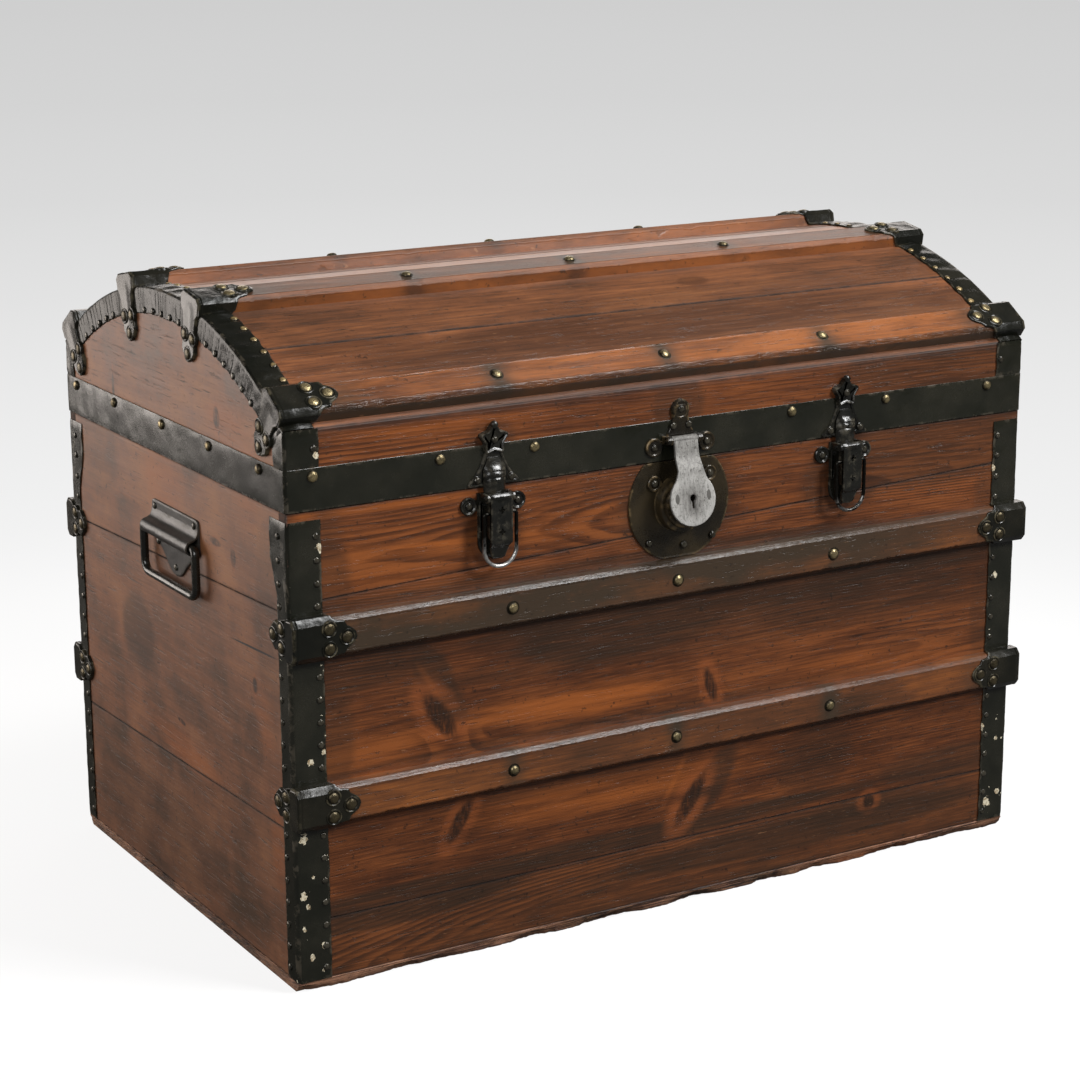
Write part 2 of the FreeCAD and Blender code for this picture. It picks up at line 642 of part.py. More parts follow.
def make_hinges():
    """Two hinges on the back. The lid leaf's heel stops the lid when it is open."""
    half = HINGE_WIDTH / 2
    middle = HINGE_MIDDLE / 2
    outer = middle + SIDE_CLEAR
    axis = (HINGE_Y, HINGE_Z)
    box_face, lid_face = HALF_DEPTH + HINGE_LEAF, HALF_DEPTH + BAND + HINGE_LEAF
    bore = rod((-half - 1, *axis), (half + 1, *axis), HINGE_PIN + PIN_CLEAR)
    tight = rod((-half - 1, *axis), (half + 1, *axis), HINGE_PIN)
    box_leaf = fuse([
        block((-half, half), (HALF_DEPTH, box_face), (BOX_HEIGHT - HINGE_LEAF_BOX, BOX_HEIGHT - LID_GAP)),
        block((-middle, middle), (HALF_DEPTH, HINGE_Y), (HINGE_Z - 2 * HINGE_KNUCKLE, HINGE_Z - LID_GAP)),
        rod((-middle, *axis), (middle, *axis), HINGE_KNUCKLE),
    ]).cut(tight)
    low_edge = LID_BOTTOM + LID_GAP
    back = lid_face - HINGE_LEAF
    pieces = [block((-half, half), (back, lid_face), (low_edge, LID_BOTTOM + HINGE_LEAF_LID))]
    for low, high in ((-half, -outer), (outer, half)):
        pieces.append(rod((low, *axis), (high, *axis), HINGE_KNUCKLE))
        pieces.append(block((low, high), (back, HINGE_Y), (low_edge, HINGE_Z + HINGE_KNUCKLE)))
        heel = (HINGE_Z - HINGE_HEEL_THICK / 2, HINGE_Z + HINGE_HEEL_THICK / 2)
        pieces.append(block((low, high), (HINGE_Y, HINGE_Y + HINGE_HEEL), heel))
    lid_leaf = fuse(pieces).cut(bore)
    pin = rod((-half - 1, *axis), (half + 1, *axis), HINGE_PIN)
    box_leaves, lid_leaves, pins = [], [], []
    box_nails, lid_nails = [], []
    for x in (-HINGE_X, HINGE_X):
        move = V(x, 0, 0)
        box_leaves.append(box_leaf.translated(move))
        lid_leaves.append(lid_leaf.translated(move))
        pins.append(pin.translated(move))
        for side in (-half + 7, half - 7):
            for z in (BOX_HEIGHT - HINGE_LEAF_BOX + 10, BOX_HEIGHT - HINGE_LEAF_BOX / 2 + 5):
                box_nails.append(head((x + side, box_face, z), (0, 1, 0), NAIL))
            lid_nails.append(head((x + side, lid_face, LID_BOTTOM + HINGE_LEAF_LID - 9), (0, 1, 0), NAIL))
    parts["hinge_box_leaves"] = group(box_leaves)
    parts["hinge_lid_leaves"] = group(lid_leaves)
    parts["hinge_pins"] = group(pins)
    return box_nails, lid_nails


# ---- Lock and hasp ------------------------------------------------------------------

def keyhole(y0, y1, z):
    """Keyhole through everything between two Y values."""
    round_part = rod((LOCK_X, y0, z), (LOCK_X, y1, z), KEYHOLE_RADIUS)
    half = KEYHOLE_RADIUS / 2
    slot = block((LOCK_X - half, LOCK_X + half), (y0, y1), (z - 2.8 * KEYHOLE_RADIUS, z))
    return fuse([round_part, slot])


def staple_window(x, y0, y1):
    """Room for a staple of the closed hasp, between two Y values."""
    wide, tall = STAPLE_WIDTH / 2 + 2 * SIDE_CLEAR, STAPLE_HEIGHT / 2 + 2 * SIDE_CLEAR
    return block((x - wide, x + wide), (y0, y1), (STAPLE_Z - tall, STAPLE_Z + tall))


def lock_bolt(front):
    """Bolt with a finger beside each staple, its front face at the Y value front."""
    wide = STAPLE_WIDTH / 2 + 2 * SIDE_CLEAR
    left = LOCK_X - STAPLE_SPREAD - wide - BOLT_THROW - BOLT_END
    right = LOCK_X + STAPLE_SPREAD + wide + BOLT_END
    low, high = STAPLE_Z - BOLT_HEIGHT / 2, STAPLE_Z + BOLT_HEIGHT / 2
    bolt = block((left, right), (front, front + BOLT_THICK), (low, high))
    floor = DISC_BACK + STAPLE_LENGTH + SIDE_CLEAR
    thick, tall = STAPLE_EYE[0], STAPLE_EYE[1] / 2
    for x in (LOCK_X - STAPLE_SPREAD, LOCK_X + STAPLE_SPREAD):
        start = x - wide - BOLT_THROW
        notch = block((start, x + wide), (front - 1, floor), (low - 1, high + 1))
        root = start - BOLT_END / 2
        finger = block((root, x - wide), (front, front + thick), (STAPLE_Z - tall, STAPLE_Z + tall))
        bolt = bolt.cut(notch).fuse(finger)
    half = KEYHOLE_RADIUS / 2
    talon_top = low + BOLT_HEIGHT / 4
    talon = block((LOCK_X - half, LOCK_X + half), (front - 1, front + BOLT_THICK + 1), (low - 1, talon_top))
    return bolt.cut(talon).removeSplitter(), left, right


def make_lock():
    """Lock on the front: plate, hollow case, and the bolt that slides in it."""
    face = -HALF_DEPTH - LOCK_PLATE
    slat_top = BOX_SLAT_HEIGHTS["upper"] + SLAT_WIDTH / 2
    disc = rod((LOCK_X, -HALF_DEPTH, LOCK_Z), (LOCK_X, face, LOCK_Z), LOCK_PLATE_RADIUS)
    height = (slat_top + LOCK_PLATE_CLEAR, BOX_HEIGHT - LOCK_PLATE_CLEAR)
    keep = block((-BIG, BIG), (face, -HALF_DEPTH), height)
    parts["lock_plate"] = disc.common(keep)
    case_front, ring_front = -HALF_DEPTH - LOCK_CASE_PROUD, -HALF_DEPTH - LOCK_RING_PROUD
    case = fuse([
        rod((LOCK_X, face, LOCK_Z), (LOCK_X, case_front, LOCK_Z), LOCK_CASE_RADIUS),
        rod((LOCK_X, face, LOCK_Z), (LOCK_X, ring_front, LOCK_Z), LOCK_RING_RADIUS),
    ])
    bolt_front = case_front + LOCK_WALL + SIDE_CLEAR
    bolt, left, right = lock_bolt(bolt_front)
    cavity_y = (bolt_front - SIDE_CLEAR, bolt_front + BOLT_THICK + SIDE_CLEAR)
    bolt_room = block(
        (left - SIDE_CLEAR, right + BOLT_THROW + SIDE_CLEAR), cavity_y,
        (STAPLE_Z - BOLT_HEIGHT / 2 - SIDE_CLEAR, STAPLE_Z + BOLT_HEIGHT / 2 + SIDE_CLEAR),
    )
    key_room = block(
        (LOCK_X - KEY_CHAMBER, LOCK_X + KEY_CHAMBER), cavity_y,
        (HASP_DISC_Z - 2 * KEY_CHAMBER, STAPLE_Z - BOLT_HEIGHT / 4),
    )
    hollows = [bolt_room, key_room, keyhole(cavity_y[1], ring_front - 1, HASP_DISC_Z)]
    for side in (-STAPLE_SPREAD, STAPLE_SPREAD):
        hollows.append(staple_window(LOCK_X + side, -BIG, cavity_y[1]))
    parts["lock_case"] = case.cut(hollows)
    parts["lock_bolt"] = bolt
    reach = LOCK_PLATE_RADIUS - 3 * NAIL[0]
    nails = []
    for angle in (-140, -90, -40, 35, 145):
        turn = math.radians(angle)
        place = (LOCK_X + reach * math.cos(turn), face, LOCK_Z + reach * math.sin(turn) * 0.9)
        nails.append(head(place, (0, -1, 0), NAIL))
    return nails


def make_hasp_plate():
    """Plate on the lid that carries the hasp: a bell with two round ears and a knob."""
    back, face = BAND_FRONT, BAND_FRONT - HASP_PLATE
    half = HASP_WIDTH / 2 + SIDE_CLEAR
    top, low = BAND_TOP + HASP_PLATE_KNOB, HASP_AXIS_Z - HASP_KNUCKLE
    foot, neck = HASP_PLATE_FOOT, HASP_PLATE_NECK
    side = (neck + foot) / 2 - neck / 4
    pieces = [plate_y([
        (LOCK_X - foot, low), (LOCK_X + foot, low), (LOCK_X + side, (low + top) / 2, "arc"),
        (LOCK_X + neck, top), (LOCK_X - neck, top), (LOCK_X - side, (low + top) / 2, "arc"),
    ], back, face)]
    ear_z = HASP_AXIS_Z - 1.5 * HASP_KNUCKLE
    for sx in (-1, 1):
        ear = LOCK_X + sx * HASP_PLATE_EAR_SPREAD
        pieces.append(rod((ear, back, ear_z), (ear, face, ear_z), HASP_PLATE_EAR))
        near, far = LOCK_X + sx * half, LOCK_X + sx * (half + HASP_EAR)
        pieces.append(rod((near, HASP_Y, HASP_AXIS_Z), (far, HASP_Y, HASP_AXIS_Z), HASP_KNUCKLE))
        pieces.append(block((near, far), (HASP_Y, back), (low, HASP_AXIS_Z + HASP_KNUCKLE)))
    pieces.append(rod((LOCK_X, -HALF_DEPTH, top), (LOCK_X, face, top), HASP_PLATE_KNOB))
    band_and_rail = block((-BIG, BIG), (back, 0), (0, BAND_TOP))
    reach = half + HASP_EAR
    pin = rod((LOCK_X - reach, HASP_Y, HASP_AXIS_Z), (LOCK_X + reach, HASP_Y, HASP_AXIS_Z), HASP_PIN)
    parts["hasp_plate"] = fuse(pieces).cut([band_and_rail, pin])
    parts["hasp_pin"] = pin
    nails = [head((LOCK_X, face, top), (0, -1, 0), RIVET)]
    for sx in (-1, 1):
        nails.append(head((LOCK_X + sx * HASP_PLATE_EAR_SPREAD, face, ear_z), (0, -1, 0), RIVET))
        nails.append(head((LOCK_X + sx * neck, face, BAND_TOP - NAIL[0] - 1), (0, -1, 0), (2.4, 1.5)))
    return nails


def make_hasp():
    """Steel hasp on the lid, hanging a little off the lock, with two staples behind its disc."""
    half = HASP_WIDTH / 2
    front, back = HASP_Y - HASP_KNUCKLE, HASP_Y - HASP_KNUCKLE + HASP_THICK
    disc_front = DISC_BACK - HASP_THICK
    low = HASP_DISC_Z - HASP_DISC_RADIUS
    crank = HASP_DISC_Z + HASP_DISC_RADIUS
    side_view = plate_x([
        (front, HASP_AXIS_Z), (front, crank + 8), (disc_front, crank), (disc_front, low),
        (DISC_BACK, low), (DISC_BACK, crank), (back, crank + 8), (back, HASP_AXIS_Z),
    ], LOCK_X - HASP_DISC_RADIUS, LOCK_X + HASP_DISC_RADIUS)
    neck = HASP_DISC_Z + math.sqrt(HASP_DISC_RADIUS ** 2 - half ** 2)
    front_view = fuse([
        plate_y([
            (LOCK_X - half, HASP_DISC_Z), (LOCK_X + half, HASP_DISC_Z), (LOCK_X + half, HASP_AXIS_Z),
            (LOCK_X - half, HASP_AXIS_Z),
        ], -BIG, 0),
        plate_y([
            (LOCK_X - half - 4, neck - 4), (LOCK_X + half + 4, neck - 4), (LOCK_X + half, neck + 6),
            (LOCK_X - half, neck + 6),
        ], -BIG, 0),
        rod((LOCK_X, -BIG, HASP_DISC_Z), (LOCK_X, 0, HASP_DISC_Z), HASP_DISC_RADIUS),
    ])
    pieces = [side_view.common(front_view)]
    axis = (HASP_Y, HASP_AXIS_Z)
    pieces.append(rod((LOCK_X - half, *axis), (LOCK_X + half, *axis), HASP_KNUCKLE))
    eye_back = -HALF_DEPTH - LOCK_CASE_PROUD + LOCK_WALL
    eyes = []
    for side in (-STAPLE_SPREAD, STAPLE_SPREAD):
        x, tall = LOCK_X + side, STAPLE_HEIGHT / 2
        pieces.append(block(
            (x - STAPLE_WIDTH / 2, x + STAPLE_WIDTH / 2), (DISC_BACK, DISC_BACK + STAPLE_LENGTH),
            (STAPLE_Z - tall, STAPLE_Z + tall),
        ))
        eye_tall = STAPLE_EYE[1] / 2 + SIDE_CLEAR
        eyes.append(block(
            (x - STAPLE_WIDTH, x + STAPLE_WIDTH), (eye_back, eye_back + STAPLE_EYE[0] + 2 * SIDE_CLEAR),
            (STAPLE_Z - eye_tall, STAPLE_Z + eye_tall),
        ))
    bore = rod((LOCK_X - BIG, *axis), (LOCK_X + BIG, *axis), HASP_PIN + PIN_CLEAR)
    hasp = fuse(pieces).cut([bore, keyhole(DISC_BACK + 1, disc_front - 1, HASP_DISC_Z)] + eyes)
    hasp.rotate(V(0, HASP_Y, HASP_AXIS_Z), V(-1, 0, 0), HASP_REST_TILT)
    parts["hasp"] = hasp


# ---- Draw latches -------------------------------------------------------------------

def latch_base(x):
    """Base plate of a latch: round nailed ears and two cheeks that hold the lever's pin."""
    face = -HALF_DEPTH - LATCH_BASE
    top = BOX_HEIGHT - LATCH_TOP_CLEAR
    bottom = top - LATCH_BASE_HEIGHT
    half = LATCH_BASE_WIDTH / 2
    pieces = [plate_y([
        (x - half, top), (x - half, bottom + half), (x, bottom, "arc"), (x + half, bottom + half),
        (x + half, top),
    ], -HALF_DEPTH, face)]
    ear_z = BOX_HEIGHT - LATCH_EAR_DROP
    for side in (-1, 1):
        ear = x + side * LATCH_EAR_SPREAD
        pieces.append(rod((ear, -HALF_DEPTH, ear_z), (ear, face, ear_z), LATCH_EAR_RADIUS))
        cheek = (x + side * CHEEK, x + side * (CHEEK + LATCH_CHEEK))
        tall = LEVER_RADIUS + 1
        pieces.append(block(cheek, (LEVER_Y, -HALF_DEPTH), (LEVER_Z - tall, top)))
        pieces.append(rod((cheek[0], LEVER_Y, LEVER_Z), (cheek[1], LEVER_Y, LEVER_Z), LEVER_RADIUS))
    hole = rod((x - BIG, LEVER_Y, LEVER_Z), (x + BIG, LEVER_Y, LEVER_Z), LEVER_PIN + PIN_CLEAR)
    nails = [head((x + side * LATCH_EAR_SPREAD, face, ear_z), (0, -1, 0), RIVET) for side in (-1, 1)]
    return fuse(pieces).cut(hole), nails


def clover(x, z):
    """Small four-leaved piercing through the lever's face."""
    front, back = LEVER_Y - 2 * LEVER_RADIUS, LEVER_Y
    leaf = CLOVER_LEAF
    holes = [block((x - leaf, x + leaf), (front, back), (z - leaf, z + leaf))]
    for dx, dz in ((1, 0), (-1, 0), (0, 1), (0, -1)):
        place_x, place_z = x + 1.75 * leaf * dx, z + 1.75 * leaf * dz
        holes.append(rod((place_x, front, place_z), (place_x, back, place_z), leaf))
    return fuse(holes)


def latch_lever(x):
    """Lever of a latch: a channel hung on its own pin, with a tail to pull on."""
    half = LEVER_WIDTH / 2
    front, back = LEVER_Y - LEVER_RADIUS, LEVER_Y + LEVER_RADIUS + 0.5
    face_end, tip = LEVER_Z - LEVER_FACE, LEVER_Z - LEVER_TAIL
    side_view = [
        (front, LEVER_Z), (front, face_end), (front + 5, face_end - 5), (front + 7, tip), (front + 9.5, tip),
        (front + 9, face_end - 3), (back, face_end + 4), (back, LEVER_Z - 1), (LEVER_Y, LEVER_Z),
    ]
    solid = plate_x(side_view, x - half, x + half)
    channel = block(
        (x - half + LEVER_THICK, x + half - LEVER_THICK), (front + LEVER_THICK, back + 1),
        (face_end + 6, LEVER_Z - LEVER_RADIUS - 1),
    )
    tail = 0.28 * LEVER_WIDTH
    taper = plate_y([
        (x - half, LEVER_Z + LEVER_RADIUS), (x - half, face_end - 2), (x - tail, tip - 1),
        (x + tail, tip - 1), (x + half, face_end - 2), (x + half, LEVER_Z + LEVER_RADIUS),
    ], -BIG, 0)
    reach = CHEEK + LATCH_CHEEK
    barrel = rod((x - half, LEVER_Y, LEVER_Z), (x + half, LEVER_Y, LEVER_Z), LEVER_RADIUS)
    pin = rod((x - reach, LEVER_Y, LEVER_Z), (x + reach, LEVER_Y, LEVER_Z), LEVER_PIN)
    link_hole = rod((x - BIG, LEVER_Y, LINK_Z), (x + BIG, LEVER_Y, LINK_Z), LINK_WIRE + PIN_CLEAR)
    lever = fuse([solid.cut(channel).common(taper), barrel, pin]).cut(link_hole)
    return lever.cut([clover(x, LEVER_Z - drop) for drop in CLOVER_DROPS])


def latch_link(x):
    """Wire loop of a latch, hung in the sides of its lever."""
    half = CHEEK + LATCH_CHEEK + LINK_AIR + LINK_WIRE
    inner = LEVER_WIDTH / 2 - LEVER_THICK - LINK_AIR / 2
    foot = LINK_Z - LINK_LENGTH
    corners = [(-inner, LINK_Z), (-half, LINK_Z), (-half, foot), (half, foot), (half, LINK_Z)]
    places = [V(x + across, LEVER_Y, z) for across, z in corners + [(inner, LINK_Z)]]
    return bent_wire(places, (LINK_BEND, half, half, LINK_BEND), LINK_WIRE)


def latch_keeper(x):
    """Keeper of a latch on the lid: a bell-shaped plate with a star, and a nose over the joint."""
    back, face = BAND_FRONT, BAND_FRONT - KEEPER
    half, nose = KEEPER_WIDTH / 2, KEEPER_NOSE_WIDTH / 2
    star_z = BAND_TOP + KEEPER_STAR_RISE
    low, neck = LID_BOTTOM + LID_GAP, star_z - 0.8 * KEEPER_STAR_RADIUS
    waist = (low + neck) / 2
    bell = plate_y([
        (x - half, low), (x + half, low), (x + half / 2, waist, "arc"), (x + nose * 0.7, star_z),
        (x - nose * 0.7, star_z), (x - half / 2, waist, "arc"),
    ], back, face)
    star_points = []
    for corner in range(10):
        reach = KEEPER_STAR_RADIUS if corner % 2 == 0 else 0.58 * KEEPER_STAR_RADIUS
        turn = math.radians(90 + 36 * corner)
        star_points.append((x + reach * math.cos(turn), star_z + reach * math.sin(turn)))
    star_face = face - KEEPER_STAR
    star = plate_y(star_points, -HALF_DEPTH, star_face)
    tip = BOX_HEIGHT - KEEPER_NOSE_DROP
    shelf = neck - 6
    hook = plate_x([
        (back, shelf), (face - 1.5, shelf), (NOSE_FACE + 0.8, shelf - 2.5, "arc"), (NOSE_FACE, shelf - 8),
        (NOSE_FACE, tip + 6), (NOSE_FACE + 0.8, tip + 2, "arc"), (face - 1.5, tip), (face, tip + 3),
        (face, low), (back, low),
    ], x - nose, x + nose)
    band_and_rail = block((-BIG, BIG), (back, 0), (0, BAND_TOP))
    keeper = fuse([bell, star, hook]).cut(band_and_rail)
    nails = [head((x, star_face, star_z), (0, -1, 0), (4.2, 2.4))]
    for side in (-1, 1):
        nails.append(head((x + side * (half - 2 * NAIL[0]), face, low + 1.4 * NAIL[0]), (0, -1, 0), NAIL))
    return keeper, nails


def make_latches():
    """Both latches: base, lever, link and keeper."""
    box_nails, lid_nails = [], []
    for side, x in LATCH_X.items():
        parts["latch_base_" + side], nails = latch_base(x)
        box_nails += nails
        parts["latch_lever_" + side] = latch_lever(x)
        parts["latch_link_" + side] = latch_link(x)
        parts["latch_keeper_" + side], nails = latch_keeper(x)
        lid_nails += nails
    return box_nails, lid_nails


# ---- End handles --------------------------------------------------------------------

def handle_plate():
    """Plate of the left handle, rolled into a barrel that holds the bail."""
    wall, face = -HALF_LENGTH, -HALF_LENGTH - HANDLE_PLATE
    axis_x = -HALF_LENGTH - HANDLE_AXIS_PROUD
    half = HANDLE_BARREL_LENGTH / 2
    top, bottom = HANDLE_AXIS_Z + HANDLE_PLATE_TOP, HANDLE_AXIS_Z - HANDLE_PLATE_BOTTOM
    y, cut = HANDLE_Y, 4.0
    sheet = plate_x([
        (y - half + cut, top), (y + half - cut, top), (y + half, top - cut), (y + half, HANDLE_AXIS_Z - 8),
        (y + 0.85 * half, HANDLE_AXIS_Z - 14), (y + 12, bottom), (y, bottom - 3, "arc"), (y - 12, bottom),
        (y - 0.85 * half, HANDLE_AXIS_Z - 14), (y - half, HANDLE_AXIS_Z - 8), (y - half, top - cut),
    ], face, wall)
    barrel = rod((axis_x, y - half, HANDLE_AXIS_Z), (axis_x, y + half, HANDLE_AXIS_Z), HANDLE_BARREL_RADIUS)
    radius = HANDLE_BARREL_RADIUS

    def profile(x, z):
        return V(x, y - half, z)

    crest = HANDLE_AXIS_Z + radius
    web = Part.Face(outline([
        (wall, HANDLE_AXIS_Z - 2), (axis_x, HANDLE_AXIS_Z - 2), (axis_x, crest),
        (face - 2.5, crest + 2, "arc"), (face, crest + 7), (wall, crest + 7),
    ], profile)).extrude(V(0, 2 * half, 0))
    inside = block((wall, 0), (-BIG, BIG), (0, BIG))
    bore = rod((axis_x, y - BIG, HANDLE_AXIS_Z), (axis_x, y + BIG, HANDLE_AXIS_Z), HANDLE_WIRE + PIN_CLEAR)
    nails = []
    for side in (-1, 1):
        nails.append(head((face, y + side * (half - 8), top - 6), (-1, 0, 0), NAIL))
        nails.append(head((face, y + side * (half - 14), HANDLE_AXIS_Z - 14), (-1, 0, 0), TACK))
    nails.append(head((face, y, bottom + 6), (-1, 0, 0), TACK))
    return fuse([sheet, barrel, web]).cut([inside, bore]), nails


def handle_bail():
    """Bail of the left handle: one bent wire with both ends in the barrel."""
    half = HANDLE_BARREL_LENGTH / 2 + HANDLE_AIR + HANDLE_BEND
    inner = HANDLE_BARREL_LENGTH / 2 - HANDLE_TAIL
    top, foot = HANDLE_AXIS_Z, HANDLE_AXIS_Z - HANDLE_DROP
    corners = [(-inner, top), (-half, top), (-half, foot), (half, foot), (half, top), (inner, top)]
    places = [V(-HALF_LENGTH - HANDLE_AXIS_PROUD, HANDLE_Y + across, z) for across, z in corners]
    return bent_wire(places, (HANDLE_BEND, HANDLE_FOOT_BEND, HANDLE_FOOT_BEND, HANDLE_BEND), HANDLE_WIRE)


def make_handles():
    """Handles on the left and right ends."""
    plate, nails = handle_plate()
    bail = handle_bail()
    for side, sx in (("left", 1), ("right", -1)):
        parts["handle_plate_" + side] = mirrored(plate, sx)
        parts["handle_bail_" + side] = mirrored(bail, sx)
    return nails + [mirrored(nail, -1) for nail in nails]


# ---- Build --------------------------------------------------------------------------

make_box_boards()
make_corner_irons()
make_corner_iron_tacks()
make_box_slats()
make_lid_boards()
make_lid_band()
make_dome_bindings()
make_lid_corner_irons()
make_lid_slats()
make_band_rivets()
make_lid_tacks()
box_nails, lid_nails = make_hinges()
box_nails += make_lock()
lid_nails += make_hasp_plate()
make_hasp()
latch_box_nails, latch_lid_nails = make_latches()
box_nails += latch_box_nails + make_handles()
lid_nails += latch_lid_nails
parts["box_hardware_nails"] = group(box_nails)
parts["lid_hardware_nails"] = group(lid_nails)

os.makedirs("parts", exist_ok=True)
for name, shape in parts.items():
    assert shape.isValid(), name
    shape.exportStep(f"parts/{name}.step")
print(len(parts), "nodes")
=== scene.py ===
import math

import bmesh
import bpy
from mathutils import Matrix, Vector, noise


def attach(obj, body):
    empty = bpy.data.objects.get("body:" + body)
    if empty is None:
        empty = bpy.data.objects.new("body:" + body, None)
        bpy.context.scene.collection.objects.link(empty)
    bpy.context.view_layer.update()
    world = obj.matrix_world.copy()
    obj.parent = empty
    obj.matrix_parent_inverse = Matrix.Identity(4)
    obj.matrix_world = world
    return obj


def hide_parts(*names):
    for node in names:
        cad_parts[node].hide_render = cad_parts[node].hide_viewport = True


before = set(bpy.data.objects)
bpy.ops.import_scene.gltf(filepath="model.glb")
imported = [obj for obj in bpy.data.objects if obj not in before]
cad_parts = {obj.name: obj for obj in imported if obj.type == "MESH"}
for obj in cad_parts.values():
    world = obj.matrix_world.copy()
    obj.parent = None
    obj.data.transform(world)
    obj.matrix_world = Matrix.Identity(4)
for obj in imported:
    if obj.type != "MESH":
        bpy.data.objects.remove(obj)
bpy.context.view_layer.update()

# Sizes are in millimetres, in the frame of the solids, until a mesh is made.
HALF_LENGTH = 405.0
HALF_DEPTH = 252.0
BOX_HEIGHT = 442.0
WALL = 14.0
BOTTOM = 10.0
LID_BOTTOM = 442.5
BAND_TOP = 480.0
DOME_EDGE_Z = 513.5
DOME_RADIUS = 418.0
DOME_EDGE = math.asin(HALF_DEPTH / DOME_RADIUS)
DOME_AXIS_Z = DOME_EDGE_Z - DOME_RADIUS * math.cos(DOME_EDGE)
BOX_SLATS = {"upper": 330.0, "lower": 176.0}
EDGE_SLAT = DOME_EDGE - 25.0 / DOME_RADIUS
LID_SLATS = {
    "front": -EDGE_SLAT, "upper_front": -70.0 / DOME_RADIUS, "upper_rear": 82.0 / DOME_RADIUS,
    "rear": EDGE_SLAT,
}
SLAT_RIVETS = (-190.0, -12.0, 168.0)
LATCHES = {"left": -203.0, "right": 185.0}
LOCK_X = -4.0
LOCK_Z = 401.0
DOME_BOARD = 12.0
SLAT_HALF = 18.0
SLAT_THICK = 13.0
IRON_THICK = 1.3  # corner irons
TACK_PITCH = 21.0
BAND_THICK = 1.5
BAND_HIGH = BAND_TOP - LID_BOTTOM
BAND_RIVET_Z = BAND_TOP - 7.5
LID_FACE = HALF_DEPTH + BAND_THICK  # what the lid's hardware lies on
HINGE_X = 240.0
HINGE_PIN = (260.5, 442.25)  # along Y, and up
HASP_PIN = (-260.5, 462.0)
HASP_TILT = math.radians(8.2)  # how far the hasp hangs off the lock at rest
LEVER_PIN = (-266.0, 434.0)
SIDES = (("left", -1), ("right", 1))
FORWARD, BACKWARD = (0, -1, 0), (0, 1, 0)


def wander(*place, size=30.0):
    """Smooth noise between about -1 and 1 that changes over a length of size."""
    return noise.noise(Vector((list(place) + [0.0, 0.0])[:3]) / size)


def unit(value):
    """The value, kept between 0 and 1."""
    return min(1.0, max(0.0, value))


def steps(low, high, count):
    """Values from low to high."""
    return [low + (high - low) * step / count for step in range(count + 1)]


# ---- Meshes -------------------------------------------------------------------------

class Piece:
    """Closed shells that become one object."""

    def __init__(self):
        self.points, self.faces = [], []
        self.wear, self.grain, self.tone, self.soot = [], [], [], []

    def shell(self, points, faces, wear=0.0, grain=None, tone=0.0, soot=0.0):
        first = len(self.points)
        self.points += points
        self.faces += [[first + corner for corner in face] for face in faces]
        self.wear += wear if isinstance(wear, list) else [wear] * len(points)
        self.grain += [grain(point) if grain else point for point in points]
        self.tone += [tone] * len(points)
        self.soot += soot if isinstance(soot, list) else [soot] * len(points)

    def done(self, name, body, slot, material, *nodes, sharp=32.0):
        """Makes the object. It stands for the nodes given, or for the one whose name its own begins with."""
        mesh = bpy.data.meshes.new(name)
        mesh.from_pydata([point * 0.001 for point in self.points], [], self.faces)
        work = bmesh.new()
        work.from_mesh(mesh)
        bmesh.ops.recalc_face_normals(work, faces=work.faces)
        work.to_mesh(mesh)
        work.free()
        for kind in ("wear", "tone", "soot"):
            mesh.attributes.new(kind, "FLOAT", "POINT").data.foreach_set("value", getattr(self, kind))
        flat = [value * 0.001 for point in self.grain for value in point]
        mesh.attributes.new("grain", "FLOAT_VECTOR", "POINT").data.foreach_set("vector", flat)
        mesh.shade_smooth()
        mesh.set_sharp_from_angle(angle=math.radians(sharp))
        mesh.materials.append(material)
        piece = bpy.data.objects.new(name, mesh)
        bpy.context.collection.objects.link(piece)
        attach(piece, body)
        nodes = nodes or [name.rpartition("_")[0]]
        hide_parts(*nodes)


def loft(piece, rings, wear=0.0, **look):
    """Solid through rings of equal length. wear is one value, or one for each point of a ring."""
    count = len(rings[0])
    faces = []
    for step in range(len(rings) - 1):
        for corner in range(count):
            a, b = step * count + corner, step * count + (corner + 1) % count
            faces.append((a, b, b + count, a + count))
    last = (len(rings) - 1) * count
    faces += [tuple(range(count))[::-1], tuple(range(last, last + count))]
    if isinstance(wear, list) and len(wear) == count:
        wear = wear * len(rings)
    piece.shell([point for ring in rings for point in ring], faces, wear, **look)


def shrunk(outline, inset):
    """Flat outline moved inwards."""
    count = len(outline)
    area = sum(a[0] * b[1] - b[0] * a[1] for a, b in zip(outline, outline[1:] + outline[:1]))
    side = 1.0 if area > 0 else -1.0
    moved = []
    for index, (u, w) in enumerate(outline):
        before, after = outline[index - 1], outline[(index + 1) % count]
        first = Vector((u - before[0], w - before[1])).normalized()
        second = Vector((after[0] - u, after[1] - w)).normalized()
        normal = Vector((-first.y - second.y, first.x + second.x)) * side
        reach = inset / max(0.35, normal.length_squared / 2)
        moved.append((u + normal.x * reach, w + normal.y * reach))
    return moved


